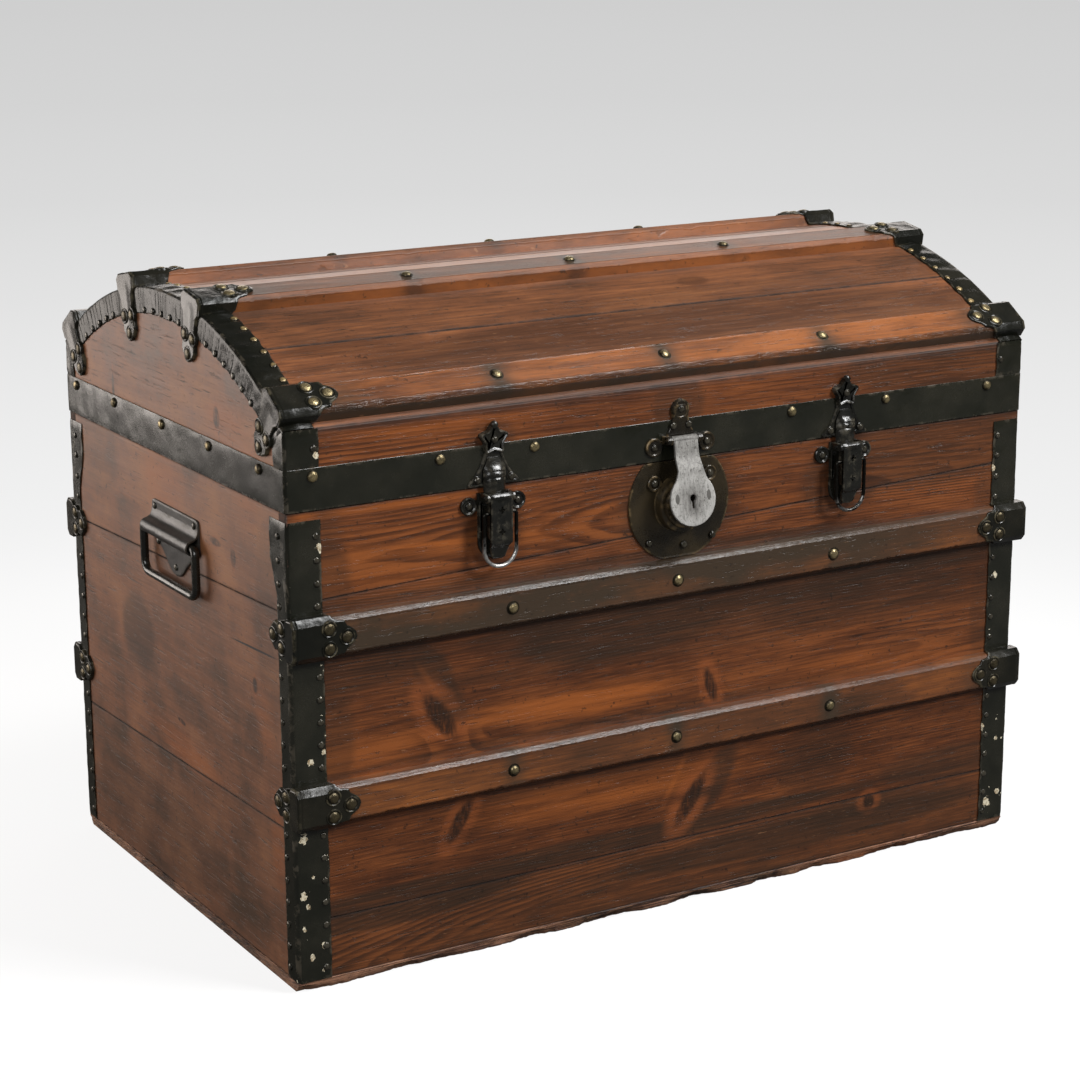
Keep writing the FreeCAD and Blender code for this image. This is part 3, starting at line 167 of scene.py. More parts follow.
def relief(piece, outline, levels, place, cell=0.0, swell=None, holes=(), **look):
    """Plate over a flat outline with holes, by levels of inset, height and wear from its back to its face."""
    work = bmesh.new()
    worn = work.verts.layers.float.new("worn")
    rings = []
    for inset, height, wear in levels:
        ring = []
        for u, w in shrunk(outline, inset):
            vert = work.verts.new((u, w, height))
            vert[worn] = wear
            ring.append(vert)
        rings.append(ring)
    for low, high in zip(rings, rings[1:]):
        for corner in range(len(low)):
            after = (corner + 1) % len(low)
            work.faces.new((low[corner], low[after], high[after], high[corner]))
    back, face = [rings[0]], [rings[-1]]
    for hole in holes:
        ends = []
        for ring, (_, height, _) in ((back, levels[0]), (face, levels[-1])):
            ends.append([work.verts.new((u, w, height)) for u, w in hole])
            for vert in ends[-1]:
                vert[worn] = 0.7
            ring.append(ends[-1])
        for corner in range(len(hole)):
            after = (corner + 1) % len(hole)
            work.faces.new((ends[0][corner], ends[1][corner], ends[1][after], ends[0][after]))
    for loops in (back, face):
        if holes:
            edges = []
            for loop in loops:
                for first, second in zip(loop, loop[1:] + loop[:1]):
                    edges.append(work.edges.get((first, second)) or work.edges.new((first, second)))
            bmesh.ops.triangle_fill(work, edges=edges, use_beauty=True)
        else:
            work.faces.new(loops[0])
    for axis in (0, 1) if cell else ():
        values = [vert.co[axis] for vert in work.verts]
        cuts = max(1, int((max(values) - min(values)) / cell))
        for value in steps(min(values), max(values), cuts)[1:-1]:
            centre, normal = Vector(), Vector()
            centre[axis], normal[axis] = value, 1.0
            everything = work.verts[:] + work.edges[:] + work.faces[:]
            bmesh.ops.bisect_plane(work, geom=everything, plane_co=centre, plane_no=normal)
    work.verts.index_update()
    points = []
    for vert in work.verts:
        u, w, height = vert.co
        if swell:
            height += swell(u, w, height)
        points.append(place(u, w, height))
    faces = [[vert.index for vert in face.verts] for face in work.faces]
    piece.shell(points, faces, [vert[worn] for vert in work.verts], **look)
    work.free()


def patch(piece, place, us, vs, thick, wear=None, wrap=False, **look):
    """Bent sheet: place(u, v) gives its outer face, and wear(u, v) how worn it is."""
    rows = [[place(u, v) for v in vs] for u in us]
    n, m = len(us), len(vs)
    inner = []
    for i in range(n):
        for j in range(m):
            before = rows[i - 1][j] if wrap or i else rows[i][j]
            after = rows[(i + 1) % n][j] if wrap or i < n - 1 else rows[i][j]
            across = rows[i][min(j + 1, m - 1)] - rows[i][max(j - 1, 0)]
            inner.append(rows[i][j] - (after - before).cross(across).normalized() * thick)
    points = [point for row in rows for point in row] + inner
    size = n * m
    faces = []
    for i in range(n if wrap else n - 1):
        k = (i + 1) % n
        for j in range(m - 1):
            loop = (i * m + j, k * m + j, k * m + j + 1, i * m + j + 1)
            faces += [loop, tuple(size + corner for corner in reversed(loop))]
        for j in (0, m - 1):
            faces.append((i * m + j, k * m + j, size + k * m + j, size + i * m + j))
    for i in () if wrap else (0, n - 1):
        for j in range(m - 1):
            faces.append((i * m + j, i * m + j + 1, size + i * m + j + 1, size + i * m + j))
    worn = [wear(u, v) if wear else 0.0 for u in us for v in vs]
    piece.shell(points, faces, worn + worn, **look)


def lathe(piece, centre, axis, profile, sides=20, stretch=(1.0, 1.0), wear=0.0, **look):
    """Turned shape: radius and height along the axis, from its foot to its crown."""
    turn = Vector((0, 0, 1)).rotation_difference(Vector(axis)).to_matrix()
    rings = []
    for radius, height in profile:
        ring = []
        for side in range(sides):
            angle = 2 * math.pi * side / sides
            across, over = radius * math.cos(angle) * stretch[0], radius * math.sin(angle) * stretch[1]
            ring.append(Vector(centre) + turn @ Vector((across, over, height)))
        rings.append(ring)
    worn = wear
    if isinstance(wear, (list, tuple)):
        worn = [value for value in wear for _ in range(sides)]
    loft(piece, rings, worn, **look)


def tube(piece, path, radius, sides=12, wear=None, **look):
    """Round wire along a path, with rounded ends."""
    path = [Vector(point) for point in path]
    tangents = []
    for index in range(len(path)):
        tangents.append((path[min(index + 1, len(path) - 1)] - path[max(index - 1, 0)]).normalized())
    normal = tangents[0].orthogonal().normalized()
    rings, worn = [], []
    stops = [(0, -0.5, 0.55), (0, -0.25, 0.86)] + [(index, 0.0, 1.0) for index in range(len(path))]
    stops += [(len(path) - 1, 0.25, 0.86), (len(path) - 1, 0.5, 0.55)]
    before = tangents[0]
    for index, shift, scale in stops:
        tangent = tangents[index]
        normal = before.rotation_difference(tangent).to_matrix() @ normal
        before = tangent
        side = tangent.cross(normal)
        middle = path[index] + tangent * shift * radius
        ring = []
        for corner in range(sides):
            angle = 2 * math.pi * corner / sides
            ring.append(middle + (normal * math.cos(angle) + side * math.sin(angle)) * radius * scale)
        rings.append(ring)
        worn += [wear(path[index]) if wear else 0.0] * sides
    loft(piece, rings, worn, **look)


def rounded(corners, bends, count=7):
    """Path through corners, each rounded to its bend."""
    corners = [Vector(corner) for corner in corners]
    path = [corners[0]]
    for index, bend in enumerate(bends, 1):
        corner = corners[index]
        back = (corners[index - 1] - corner).normalized()
        ahead = (corners[index + 1] - corner).normalized()
        half = back.angle(ahead) / 2
        reach = bend / math.tan(half)
        centre = corner + (back + ahead).normalized() * (bend / math.sin(half))
        start, end = corner + back * reach, corner + ahead * reach
        for step in range(count + 1):
            blend = (start - centre).normalized().slerp((end - centre).normalized(), step / count)
            path.append(centre + blend * bend)
    path.append(corners[-1])
    clean = [path[0]]
    for point in path[1:]:
        if (point - clean[-1]).length > 0.05:
            clean.append(point)
    return clean


def heads(piece, places, radius, height, collar=0.0, **look):
    """Hammered round heads, each a little tilted and uneven. Some stand on a grimy collar, a share wider."""
    for centre, axis in places:
        centre = Vector(centre)
        seed = centre.x * 1.37 + centre.y * 2.11 + centre.z * 0.73
        tilt = Vector((wander(seed, 3.1, size=7), wander(seed, 9.7, size=7), wander(seed, 5.3, size=7)))
        lean = (Vector(axis) + tilt * 0.12).normalized()
        grown = 1 + 0.07 * wander(seed, 21.0, size=5)
        wide = (grown * (1 + 0.05 * wander(seed, 31.0, size=5)), grown)
        profile = [(1.0, -0.15), (1.0, 0.2), (0.95, 0.42), (0.8, 0.7), (0.58, 0.9), (0.3, 0.985), (0.1, 1.0)]
        shape = [(radius * across, height * up) for across, up in profile]
        lathe(piece, centre, lean, shape, 20, wide, [0.9, 0.8, 0.55, 0.3, 0.1, 0.0, 0.0], **look)
        if collar:
            ring = [(collar, -0.2), (collar, 0.1), (collar - 0.1, 0.22), (0.4, 0.3)]
            lathe(piece, centre, axis, [(radius * across, up) for across, up in ring], 18, wide, 1.0, **look)


def on_front(y=-HALF_DEPTH):
    """Places u along X, w up and h out of the front."""
    return lambda u, w, h: Vector((u, y - h, w))


def on_back(y=HALF_DEPTH):
    return lambda u, w, h: Vector((-u, y + h, w))


def on_end(side, x=HALF_LENGTH):
    return lambda u, w, h: Vector((side * (x + h), u, w))


def on_dome(angle, along, across, out):
    """Point over the dome at an angle from the crown."""
    radius = DOME_RADIUS + out
    y = math.sin(angle) * radius + math.cos(angle) * across
    z = DOME_AXIS_Z + math.cos(angle) * radius - math.sin(angle) * across
    return Vector((along, y, z))


def beside(x, side):
    """Places u along Y, w up and h sideways from x."""
    return lambda u, w, h: Vector((x + side * h, u, w))


def dented(amount, size, above=1.5):
    """Unevenness of a plate's face."""
    return lambda u, w, h: amount * wander(u, w, size=size) * (h > above)


def divided(path, length):
    """Path with more points on its long runs."""
    full = []
    for a, b in zip(path, path[1:]):
        pieces = max(1, int((b - a).length / length))
        full += [a.lerp(b, step / pieces) for step in range(pieces)]
    return full + [path[-1]]


def slat_seats():
    """For each slat: its name, body, and its place by length, across and out."""
    seats = []
    for level, height in BOX_SLATS.items():
        for wall_name, way in (("front", -1), ("back", 1)):
            place = lambda u, w, h, z=height, s=way: Vector((u, s * (HALF_DEPTH + h), z + w))
            seats.append((wall_name + "_slat_" + level, "box", place))
    for name, angle in LID_SLATS.items():
        seats.append(("lid_slat_" + name, "lid", lambda u, w, h, a=angle: on_dome(a, u, w, h)))
    return seats


# ---- Materials ----------------------------------------------------------------------

MARK_DEPTH = 60.0  # how deep into the wood a mark reaches
KNOT_DEPTH = 40.0
KNOT_HALO = (3.2, 1.0, 2.2)  # a halo's size over its knot's
IRON_FACE = 254.0  # the corner irons' face, out from the middle
STAIN = (0.030, 0.0165, 0.0096)


class Graph:
    """Node tree of one material."""

    def __init__(self, name):
        self.material = bpy.data.materials.new(name)
        self.material.use_nodes = True
        self.tree = self.material.node_tree
        self.shader = self.tree.nodes["Principled BSDF"]

    def node(self, kind, sockets=None, **settings):
        node = self.tree.nodes.new("ShaderNode" + kind)
        for key, value in settings.items():
            setattr(node, key, value)
        for key, value in (sockets or {}).items():
            self.put(node.inputs[key], value)
        return node

    def put(self, socket, value):
        if isinstance(value, bpy.types.NodeSocket):
            self.tree.links.new(value, socket)
        else:
            socket.default_value = value

    def math(self, operation, a, b=0.0, c=0.0, clamp=False):
        return self.node("Math", {0: a, 1: b, 2: c}, operation=operation, use_clamp=clamp).outputs[0]

    def times(self, a, b, clamp=False):
        return self.math("MULTIPLY", a, b, clamp=clamp)

    def plus(self, a, b, clamp=False):
        return self.math("ADD", a, b, clamp=clamp)

    def grown(self, base, value, share, clamp=False):
        """base and a share of a value."""
        return self.math("MULTIPLY_ADD", value, share, base, clamp)

    def swayed(self, base, value, share):
        """base, moved both ways by a noise whose middle is 0.5."""
        return self.grown(base, self.math("SUBTRACT", value, 0.5), share)

    def largest(self, values):
        most = values[0]
        for value in values[1:]:
            most = self.math("MAXIMUM", most, value)
        return most

    def mix(self, factor, a, b, blend="MIX"):
        node = self.node("Mix", data_type="RGBA", blend_type=blend)
        for index, value in ((0, factor), (6, a), (7, b)):
            if isinstance(value, tuple):
                value = (*value, 1.0)
            self.put(node.inputs[index], value)
        return node.outputs[2]

    def tint(self, colour, other, factor, share):
        """colour moved towards another by a factor times a share."""
        return self.mix(self.times(factor, share), colour, other)

    def between(self, value, low, high, start=0.0, end=1.0, kind="SMOOTHSTEP"):
        sockets = {"Value": value, "From Min": low, "From Max": high, "To Min": start, "To Max": end}
        return self.node("MapRange", sockets, interpolation_type=kind).outputs["Result"]

    def noise(self, where, scale, detail=3.0, roughness=0.55, distortion=0.0):
        """Noise of one scale, or stretched by a scale along each axis."""
        scales = (scale,) * 3 if isinstance(scale, float) else scale
        stretched = self.node("VectorMath", {0: where, 1: scales}, operation="MULTIPLY").outputs["Vector"]
        sockets = {"Vector": stretched, "Scale": 1.0, "Detail": detail, "Roughness": roughness,
                   "Distortion": distortion}
        return self.node("TexNoise", sockets).outputs["Fac"]

    def object_place(self):
        return self.node("TexCoord").outputs["Object"]

    def apart(self, vector):
        return self.node("SeparateXYZ", {0: vector}).outputs

    def attribute(self, name, output="Fac"):
        return self.node("Attribute", attribute_name=name).outputs[output]

    def blot(self, where, centre, radii, turn=(0.0, 0.0, 0.0)):
        """Soft ellipse, 1 in its middle and 0 outside, given in millimetres."""
        node = self.node("Mapping", {"Vector": where}, vector_type="TEXTURE")
        node.inputs["Location"].default_value = [value * 0.001 for value in centre]
        node.inputs["Scale"].default_value = [value * 0.001 for value in radii]
        node.inputs["Rotation"].default_value = [math.radians(value) for value in turn]
        return self.node("TexGradient", {"Vector": node.outputs[0]}, gradient_type="SPHERICAL").outputs["Fac"]

    def marks(self, where, rows, fray, start, full):
        """The strongest of several blots at each place, each with its strength and a frayed edge."""
        found = []
        for centre, radii, turn, strength in rows:
            near = self.times(self.blot(where, centre, radii, turn), fray)
            found.append(self.times(self.between(near, start, full), strength))
        return self.largest(found)

    def bump(self, height, distance, strength, normal=None):
        sockets = {"Height": height, "Distance": distance, "Strength": strength}
        if normal:
            sockets["Normal"] = normal
        return self.node("Bump", sockets).outputs["Normal"]

    def finish(self, colour, roughness, normal, **constants):
        sockets = {"Base Color": colour, "Roughness": roughness, "Normal": normal, **constants}
        for key, value in sockets.items():
            self.put(self.shader.inputs[key.replace("_", " ")], value)
        return self.material


def year_rings(g, where, grain, seeded, spacing, knots):
    """Late wood of a trunk whose heart wanders behind the board, and the cores and halos of its knots."""
    sway = g.noise(seeded, (1.6, 5.0, 1.0), 2.0, 0.5)
    sway_fine = g.noise(seeded, (7.0, 32.0, 1.0), 2.0, 0.5)
    pith = g.noise(seeded, (1.1, 0.0, 1.3), 1.0, 0.4)
    side = g.plus(g.apart(grain)[1], g.grown(-0.025, sway, 0.05))
    behind = g.grown(-0.018, pith, 0.11)
    ring = g.math("SQRT", g.plus(g.times(side, side), g.times(behind, behind)))
    ring = g.grown(ring, sway_fine, 0.0045)
    cores, halos = [], []
    for centre, radii, turn in knots:
        wide = (radii[0] * KNOT_HALO[0], radii[1] * KNOT_HALO[1], radii[2] * KNOT_HALO[2])
        near = g.blot(where, centre, wide, turn)
        ring = g.grown(ring, g.times(near, near), 0.012)
        cores.append(g.between(g.blot(where, centre, radii, turn), 0.05, 0.5))
        halos.append(near)
    phase = g.math("FRACT", g.math("DIVIDE", ring, spacing))
    late = g.times(g.between(phase, 0.15, 0.82), g.between(phase, 0.86, 1.0, 1.0, 0.0))
    return late, cores, halos


def wood(name, deep, mid, light, spacing=0.0036, figure=0.2, patches=0.7, threads=0.7, edge=0.8, scuff=0.0,
         shine=0.26, veil=0.4, matt=0.4, stain_and_shade_colour=STAIN, knots=(), stains_and_shade=(), glows=(), figured=(), cracks=()):
    """Old stained softwood under a worn coat of wax. The grain runs along the grain attribute's X."""
    g = Graph(name)
    where = g.object_place()
    grain = g.attribute("grain", "Vector")
    tone = g.attribute("tone")
    wear = g.attribute("wear")
    along, across, depth = g.apart(grain)
    seeded = g.node("CombineXYZ", {0: along, 1: across, 2: g.grown(depth, tone, 0.7)}).outputs[0]
    late, cores, halos = year_rings(g, where, grain, seeded, spacing, knots)
    fibre = g.noise(seeded, (24.0, 640.0, 90.0), 4.0, 0.66)
    thread = g.noise(seeded, (13.0, 300.0, 50.0), 4.0, 0.66)
    streak = g.noise(seeded, (4.0, 70.0, 12.0), 5.0, 0.66)
    broad = g.noise(seeded, (2.2, 13.0, 4.0), 4.0, 0.6)
    cloud = g.noise(where, (7.0, 12.0, 12.0), 5.0, 0.66)
    fray = g.swayed(g.swayed(1.0, broad, 2.2), fibre, 0.7)

    # the figure stands out in some places and is nearly lost in others
    plain = g.between(g.noise(seeded, (2.6, 13.0, 2.0), 2.0, 0.5), 0.46, 0.66, 0.1, 1.3)
    if figured:
        plain = g.plus(plain, g.marks(where, figured, fray, 0.0, 0.6))
    amount = g.grown(0.5, g.times(g.math("SUBTRACT", late, 0.45), plain), -figure)
    for noise_value, share in ((streak, 0.7), (broad, 0.8), (cloud, patches), (fibre, threads),
                               (thread, threads)):
        amount = g.swayed(amount, noise_value, share)
    amount = g.grown(amount, g.math("MAXIMUM", tone, 0.0), 0.3)
    ramp = g.node("ValToRGB", {0: amount})
    stops = ramp.color_ramp.elements
    stops[0].position, stops[0].color = 0.14, (*deep, 1)
    stops[1].position, stops[1].color = 0.9, (*light, 1)
    stops.new(0.5).color = (*mid, 1)
    pore = g.between(g.noise(seeded, (30.0, 520.0, 50.0), 3.0, 0.66), 0.60, 0.68)
    colour = g.tint(ramp.outputs["Color"], (0.016, 0.008, 0.004), pore, 0.72)

    # glows by place, then the attribute of sooty dirt and shade (painted light where it is negative; sooty
    # dirt and painted shade where positive), then staining by place (on the dome also painted shade along its
    # front slat), knots and cracks
    if glows:
        spot = g.times(g.marks(where, glows, fray, 0.0, 0.7), g.between(streak, 0.34, 0.62, 0.25, 1.0))
        colour = g.mix(spot, colour, (0.29, 0.082, 0.017))
    soot_shade_and_light = g.attribute("soot")
    bright = g.between(thread, 0.3, 0.6, 0.4, 1.0)
    # painted light: below zero the attribute tints the colour bright orange
    colour = g.tint(colour, (0.27, 0.085, 0.020), g.times(soot_shade_and_light, -1.0, clamp=True), bright)
    soot = g.math("MAXIMUM", soot_shade_and_light, g.times(tone, -1.0))
    soot = g.times(soot, g.between(g.plus(broad, cloud), 0.75, 1.2, 1.4, 0.7), clamp=True)
    colour = g.mix(soot, colour, (0.042, 0.027, 0.016))
    # darkened marks by place; on the dome these include painted shade along its front slat
    if stains_and_shade:
        spot = g.times(g.marks(where, stains_and_shade, fray, 0.04, 0.36), g.between(streak, 0.2, 0.8, 1.0, 0.75))
        spot = g.times(spot, g.between(thread, 0.35, 0.7, 1.0, 0.78))
        colour = g.mix(spot, colour, stain_and_shade_colour)
    if knots:
        halo = g.largest(halos)
        rim = g.times(g.between(halo, 0.35, 0.6), g.between(halo, 0.9, 0.66))
        colour = g.tint(colour, (0.25, 0.07, 0.02), g.times(rim, g.between(streak, 0.3, 0.6)), 0.55)
        rough_core = g.between(g.noise(where, (420.0, 200.0, 90.0), 3.0, 0.6), 0.3, 0.62, 0.45, 1.0)
        colour = g.tint(colour, (0.020, 0.010, 0.006), g.times(g.largest(cores), rough_core), 0.9)
    for centre, radii, turn in cracks:
        split = g.between(g.blot(where, centre, radii, turn), 0.05, 0.4)
        colour = g.mix(split, colour, (0.006, 0.004, 0.003))

    # edges rubbed bare and then grimy, dirt, and pale flecks
    blotch = g.noise(where, 70.0, 4.0, 0.65)
    if scuff:
        rubbed = g.times(wear, g.between(blotch, 0.36, 0.56))
        colour = g.tint(colour, (0.30, 0.15, 0.075), g.times(rubbed, g.between(fibre, 0.46, 0.6)), scuff)
    grime = g.between(blotch, 0.3, 0.6, 0.5, 1.0)
    colour = g.tint(colour, (0.010, 0.006, 0.004), g.times(wear, edge), grime)
    dirt = g.between(g.noise(where, 150.0, 3.0, 0.7), 0.63, 0.70)
    colour = g.tint(colour, (0.012, 0.008, 0.006), dirt, 0.65)
    fleck = g.between(g.noise(seeded, (90.0, 700.0, 90.0), 2.0, 0.5), 0.70, 0.76)
    colour = g.tint(colour, (0.34, 0.17, 0.08), fleck, 0.35)

    rough = g.grown(g.grown(shine - 0.08, cloud, 0.22), fibre, 0.10)
    rough = g.grown(rough, wear, matt, clamp=True)
    height = g.grown(g.grown(g.times(fibre, 0.6), late, figure), pore, -0.6)
    normal = g.bump(g.noise(seeded, (4.0, 22.0, 22.0), 2.0, 0.5), 0.0016, 0.45)
    normal = g.bump(height, 0.00030, 0.75, normal)
    ragged = g.noise(seeded, (45.0, 480.0, 480.0), 4.0, 0.7)
    normal = g.bump(g.times(ragged, wear), 0.0008, 0.8, normal)
    return g.finish(colour, rough, normal, Specular_IOR_Level=veil)


def paint_chips(g, where, chips):
    """Cream shards where the paint is gone: at random near the floor, and where the photograph shows them."""
    low = g.between(g.apart(where)[2], 0.46, 0.0, 0.0, 1.0)
    chip = g.between(g.grown(g.noise(where, 105.0, 3.0, 0.7), low, 0.03), 0.735, 0.745)
    small = g.between(g.grown(g.noise(where, 300.0, 3.0, 0.7), low, 0.015), 0.79, 0.80)
    chip = g.times(g.math("MAXIMUM", chip, small), g.between(low, 0.0, 0.25, 0.0, 1.0))
    shard = g.math("SUBTRACT", g.noise(where, 190.0, 3.0, 0.7), 0.5)
    for x, z, radius in chips:
        near = g.blot(where, (x, -IRON_FACE, z), (radius * 1.35, 30.0, radius * 1.6))
        ragged = g.times(near, g.grown(1.0, shard, 3.5))
        chip = g.math("MAXIMUM", chip, g.between(ragged, 0.42, 0.46))
    return chip


def iron(name, base, warm, gloss=0.2, lump=1.0, worn=(0.07, 0.058, 0.04), metallic=0.0, grit=1.0, veil=0.5,
         calm=0.0, chips=()):
    """Sheet or cast iron under thick glossy paint that is rubbed and chipped at its edges."""
    g = Graph(name)
    where = g.object_place()
    cloud = g.noise(where, 16.0, 4.0, 0.6)
    spot = g.noise(where, 85.0, 4.0, 0.65)
    fine = g.noise(where, 420.0, 3.0, 0.6)
    colour = g.mix(g.between(cloud, 0.35, 0.7), base, warm)
    rubbed = g.times(g.attribute("wear"), g.between(spot, 0.47, 0.64))
    colour = g.tint(colour, worn, rubbed, 0.75)
    rough = g.grown(gloss - 0.04, cloud, 0.2)
    rough = g.grown(rough, g.between(fine, 0.5, 0.75), 0.12 * grit)
    rough = g.grown(rough, rubbed, 0.22)
    if chips:
        chip = paint_chips(g, where, chips)
        cream = g.mix(g.between(fine, 0.35, 0.6), (0.24, 0.17, 0.09), (0.62, 0.56, 0.42))
        colour = g.mix(chip, colour, cream)
        rough = g.grown(rough, chip, 0.4, clamp=True)
    # pale flecks: partly worn paint, partly painted glints
    fleck = g.between(g.noise(where, 520.0, 3.0, 0.7), 0.75, 0.78)
    colour = g.tint(colour, (0.14, 0.13, 0.10), fleck, 0.3)
    lumps = g.grown(g.noise(where, 34.0, 3.0, 0.5), spot, 0.35)
    if calm:  # a smoother face on the ends, where the light grazes it
        off_end = g.between(g.math("ABSOLUTE", g.apart(where)[0]), 0.4055, 0.4035, calm, 1.0)
        lumps = g.times(lumps, off_end)
    normal = g.bump(lumps, 0.0012 * lump, 0.8)
    normal = g.bump(g.grown(fine, rubbed, -0.5), 0.00016 * grit, 0.5, normal)
    return g.finish(colour, rough, normal, Metallic=metallic, Specular_IOR_Level=veil)


def brass(name, base, tarnish, metallic, gloss):
    """Old brass, bright on crowns, dark round feet. Its tone makes it golden or, if negative, painted."""
    g = Graph(name)
    where = g.object_place()
    spot = g.noise(where, 260.0, 4.0, 0.65)
    each = g.noise(where, 14.0, 1.0, 0.5)
    tone = g.attribute("tone")
    dark = g.plus(g.attribute("wear"), g.between(spot, 0.40, 0.68, 0.0, 0.6))
    dark = g.plus(dark, g.between(each, 0.35, 0.65, -0.15, 0.25), clamp=True)
    golden = g.mix(g.math("MAXIMUM", tone, 0.0), base, (0.42, 0.30, 0.13))
    painted = g.mix(g.times(tone, -1.0, clamp=True), golden, (0.020, 0.018, 0.013))
    colour = g.mix(dark, painted, tarnish)
    return g.finish(colour, g.grown(gloss, dark, 0.22), g.bump(spot, 0.0009, 0.7), Metallic=metallic)


def steel(name, base, stain_and_shade_colour, streaks, gloss, metallic=0.85, stained=0.55, shaded_above=0.0):
    """Bare steel with brushed streaks, scratches and dark staining, and painted shade above a given height."""
    g = Graph(name)
    where = g.object_place()
    brushed = g.noise(where, [450.0 * value for value in streaks], 4.0, 0.6)
    cloud = g.noise(where, 60.0, 4.0, 0.6)
    pitted = g.between(g.noise(where, 330.0, 4.0, 0.7), 0.55, 0.66)
    scratch = g.between(g.noise(where, [900.0 * value for value in streaks], 2.0, 0.5, 0.6), 0.60, 0.66)
    dark = g.grown(g.times(scratch, 0.55), g.between(cloud, 0.42, 0.75), stained)
    dark = g.grown(dark, pitted, 0.45)
    dark = g.grown(dark, g.between(brushed, 0.58, 0.40), 0.22)
    # painted shade: above this height the steel's colour is darkened
    if shaded_above:
        painted_shade = g.between(g.apart(where)[2], shaded_above, shaded_above + 0.012, 0.0, 0.5)
        dark = g.plus(dark, painted_shade)
    dark = g.plus(dark, g.attribute("wear"), clamp=True)
    colour = g.mix(dark, base, stain_and_shade_colour)
    shine = g.times(g.between(brushed, 0.3, 0.8), 0.3)
    colour = g.mix(shine, colour, (0.62, 0.60, 0.57), "SOFT_LIGHT")
    normal = g.bump(g.grown(brushed, scratch, -0.6), 0.00030, 0.6)
    return g.finish(colour, g.grown(gloss, brushed, 0.22), normal, Metallic=metallic)


# Marks that the photograph shows. A row gives a place along and up, half a width and half a height, a turn in
# degrees and, but for knots, a strength.

def on_long_side(y, rows):
    """Marks on the front or the back."""
    return [((x, y, z), (wide, MARK_DEPTH, high), (0, turn, 0), *strength)
            for x, z, wide, high, turn, *strength in rows]


def on_end_side(x, rows, depth=MARK_DEPTH):
    """Marks on an end."""
    return [((x, y, z), (depth, wide, high), (turn, 0, 0), *strength)
            for y, z, wide, high, turn, *strength in rows]


LONG_KNOTS = on_long_side(-HALF_DEPTH, (
    (-259, 236, 13, 36, -34), (35, 216, 8, 24, -18), (13, 104, 11, 38, 34), (-240, 132, 9, 31, 34),
    (230, 60, 9, 11, 0),
)) + on_long_side(HALF_DEPTH, (
    (-150, 220, 12, 25, 15), (210, 400, 12, 16, 0), (60, 100, 14, 24, -20),
))
LONG_STAINS = on_long_side(-HALF_DEPTH, (
    (80, 303, 400, 34, 0, 1.0), (60, 262, 500, 16, 1, 0.45), (-250, 352, 260, 14, 0, 0.45),
    (250, 176, 200, 12, 0, 0.5), (-60, 285, 170, 34, -1, 0.95), (190, 280, 230, 30, 0, 0.7),
    (-262, 270, 24, 62, -30, 0.85), (-340, 292, 110, 26, -4, 0.7), (330, 235, 120, 90, 0, 0.15),
    (-80, 78, 420, 13, 0, 1.0), (-300, 66, 150, 24, 0, 0.9), (150, 44, 280, 20, 0, 0.85),
    (330, 84, 120, 22, 0, 0.8), (-4, 402, 85, 62, 0, 0.7), (310, 420, 190, 50, 0, 0.6),
    (-375, 300, 40, 200, 0, 0.6), (375, 300, 30, 220, 0, 0.5), (-203, 408, 40, 44, 0, 0.5),
    (185, 400, 60, 44, 0, 0.6), (40, 118, 22, 56, 34, 0.9), (-40, 200, 420, 6, 0, 0.5),
    (160, 120, 60, 46, -10, 0.5), (-100, 352, 420, 9, 0, 0.7), (-4, 494, 34, 30, 0, 0.6),
    (330, 500, 180, 34, 0, 0.6), (-203, 486, 30, 22, 0, 0.5), (-120, 150, 200, 14, 0, 0.3),
)) + on_long_side(HALF_DEPTH, (
    (-60, 300, 360, 34, 2, 0.9), (100, 76, 420, 16, 0, 0.8), (-250, 410, 150, 40, 0, 0.6),
))
LONG_GLOWS = on_long_side(-HALF_DEPTH, (
    (-335, 403, 44, 9, -2, 1.0), (-240, 396, 130, 5, 3, 0.9), (-230, 400, 190, 50, 0, 0.4),
    (-300, 372, 120, 20, 0, 0.5), (-90, 403, 44, 7, -4, 1.0), (-90, 130, 230, 26, 0, 0.75),
    (-330, 214, 120, 30, 0, 0.35), (-110, 226, 160, 22, 1, 0.85), (-60, 225, 70, 10, 0, 0.9),
    (230, 206, 150, 20, 0, 0.4), (-280, 437, 150, 6, 0, 0.8), (-250, 500, 140, 16, 0, 0.5),
    (-386, 437, 22, 8, 0, 1.0), (-4, 130, 8, 40, 30, 0.8), (-268, 268, 5, 40, -32, 0.9),
    (120, 385, 60, 8, 0, 0.5),
))
LONG_FIGURE = on_long_side(-HALF_DEPTH, (
    (-260, 405, 170, 40, 0, 2.0), (-60, 400, 150, 40, 0, 1.6), (300, 376, 90, 20, 0, 1.2),
    (-330, 300, 80, 30, 0, 1.2), (-300, 490, 150, 20, 0, 1.2),
))
END_KNOTS = on_end_side(-HALF_LENGTH, (
    (-113, 501, 9, 13, 0), (-139, 378, 7, 12, 0), (-177, 269, 7, 10, 0), (-6, 186, 13, 3.5, 8),
    (131, 486, 4, 22, 0), (-100, 384, 16, 5, 0),
), KNOT_DEPTH) + on_end_side(HALF_LENGTH, (
    (60, 250, 9, 12, 0), (-120, 420, 7, 10, 0),
), KNOT_DEPTH)
END_STAINS = on_end_side(-HALF_LENGTH, (
    (-215, 330, 40, 120, 0, 0.4), (60, 60, 200, 60, 0, 0.4), (93, 246, 50, 56, 0, 0.75),
    (-16, 211, 60, 24, 10, 0.4), (-170, 210, 26, 40, 0, 0.35), (180, 420, 60, 60, 0, 0.35),
    (-13, 345, 75, 40, 0, 0.45),
)) + on_end_side(HALF_LENGTH, (
    (60, 200, 160, 60, 0, 0.5),
))
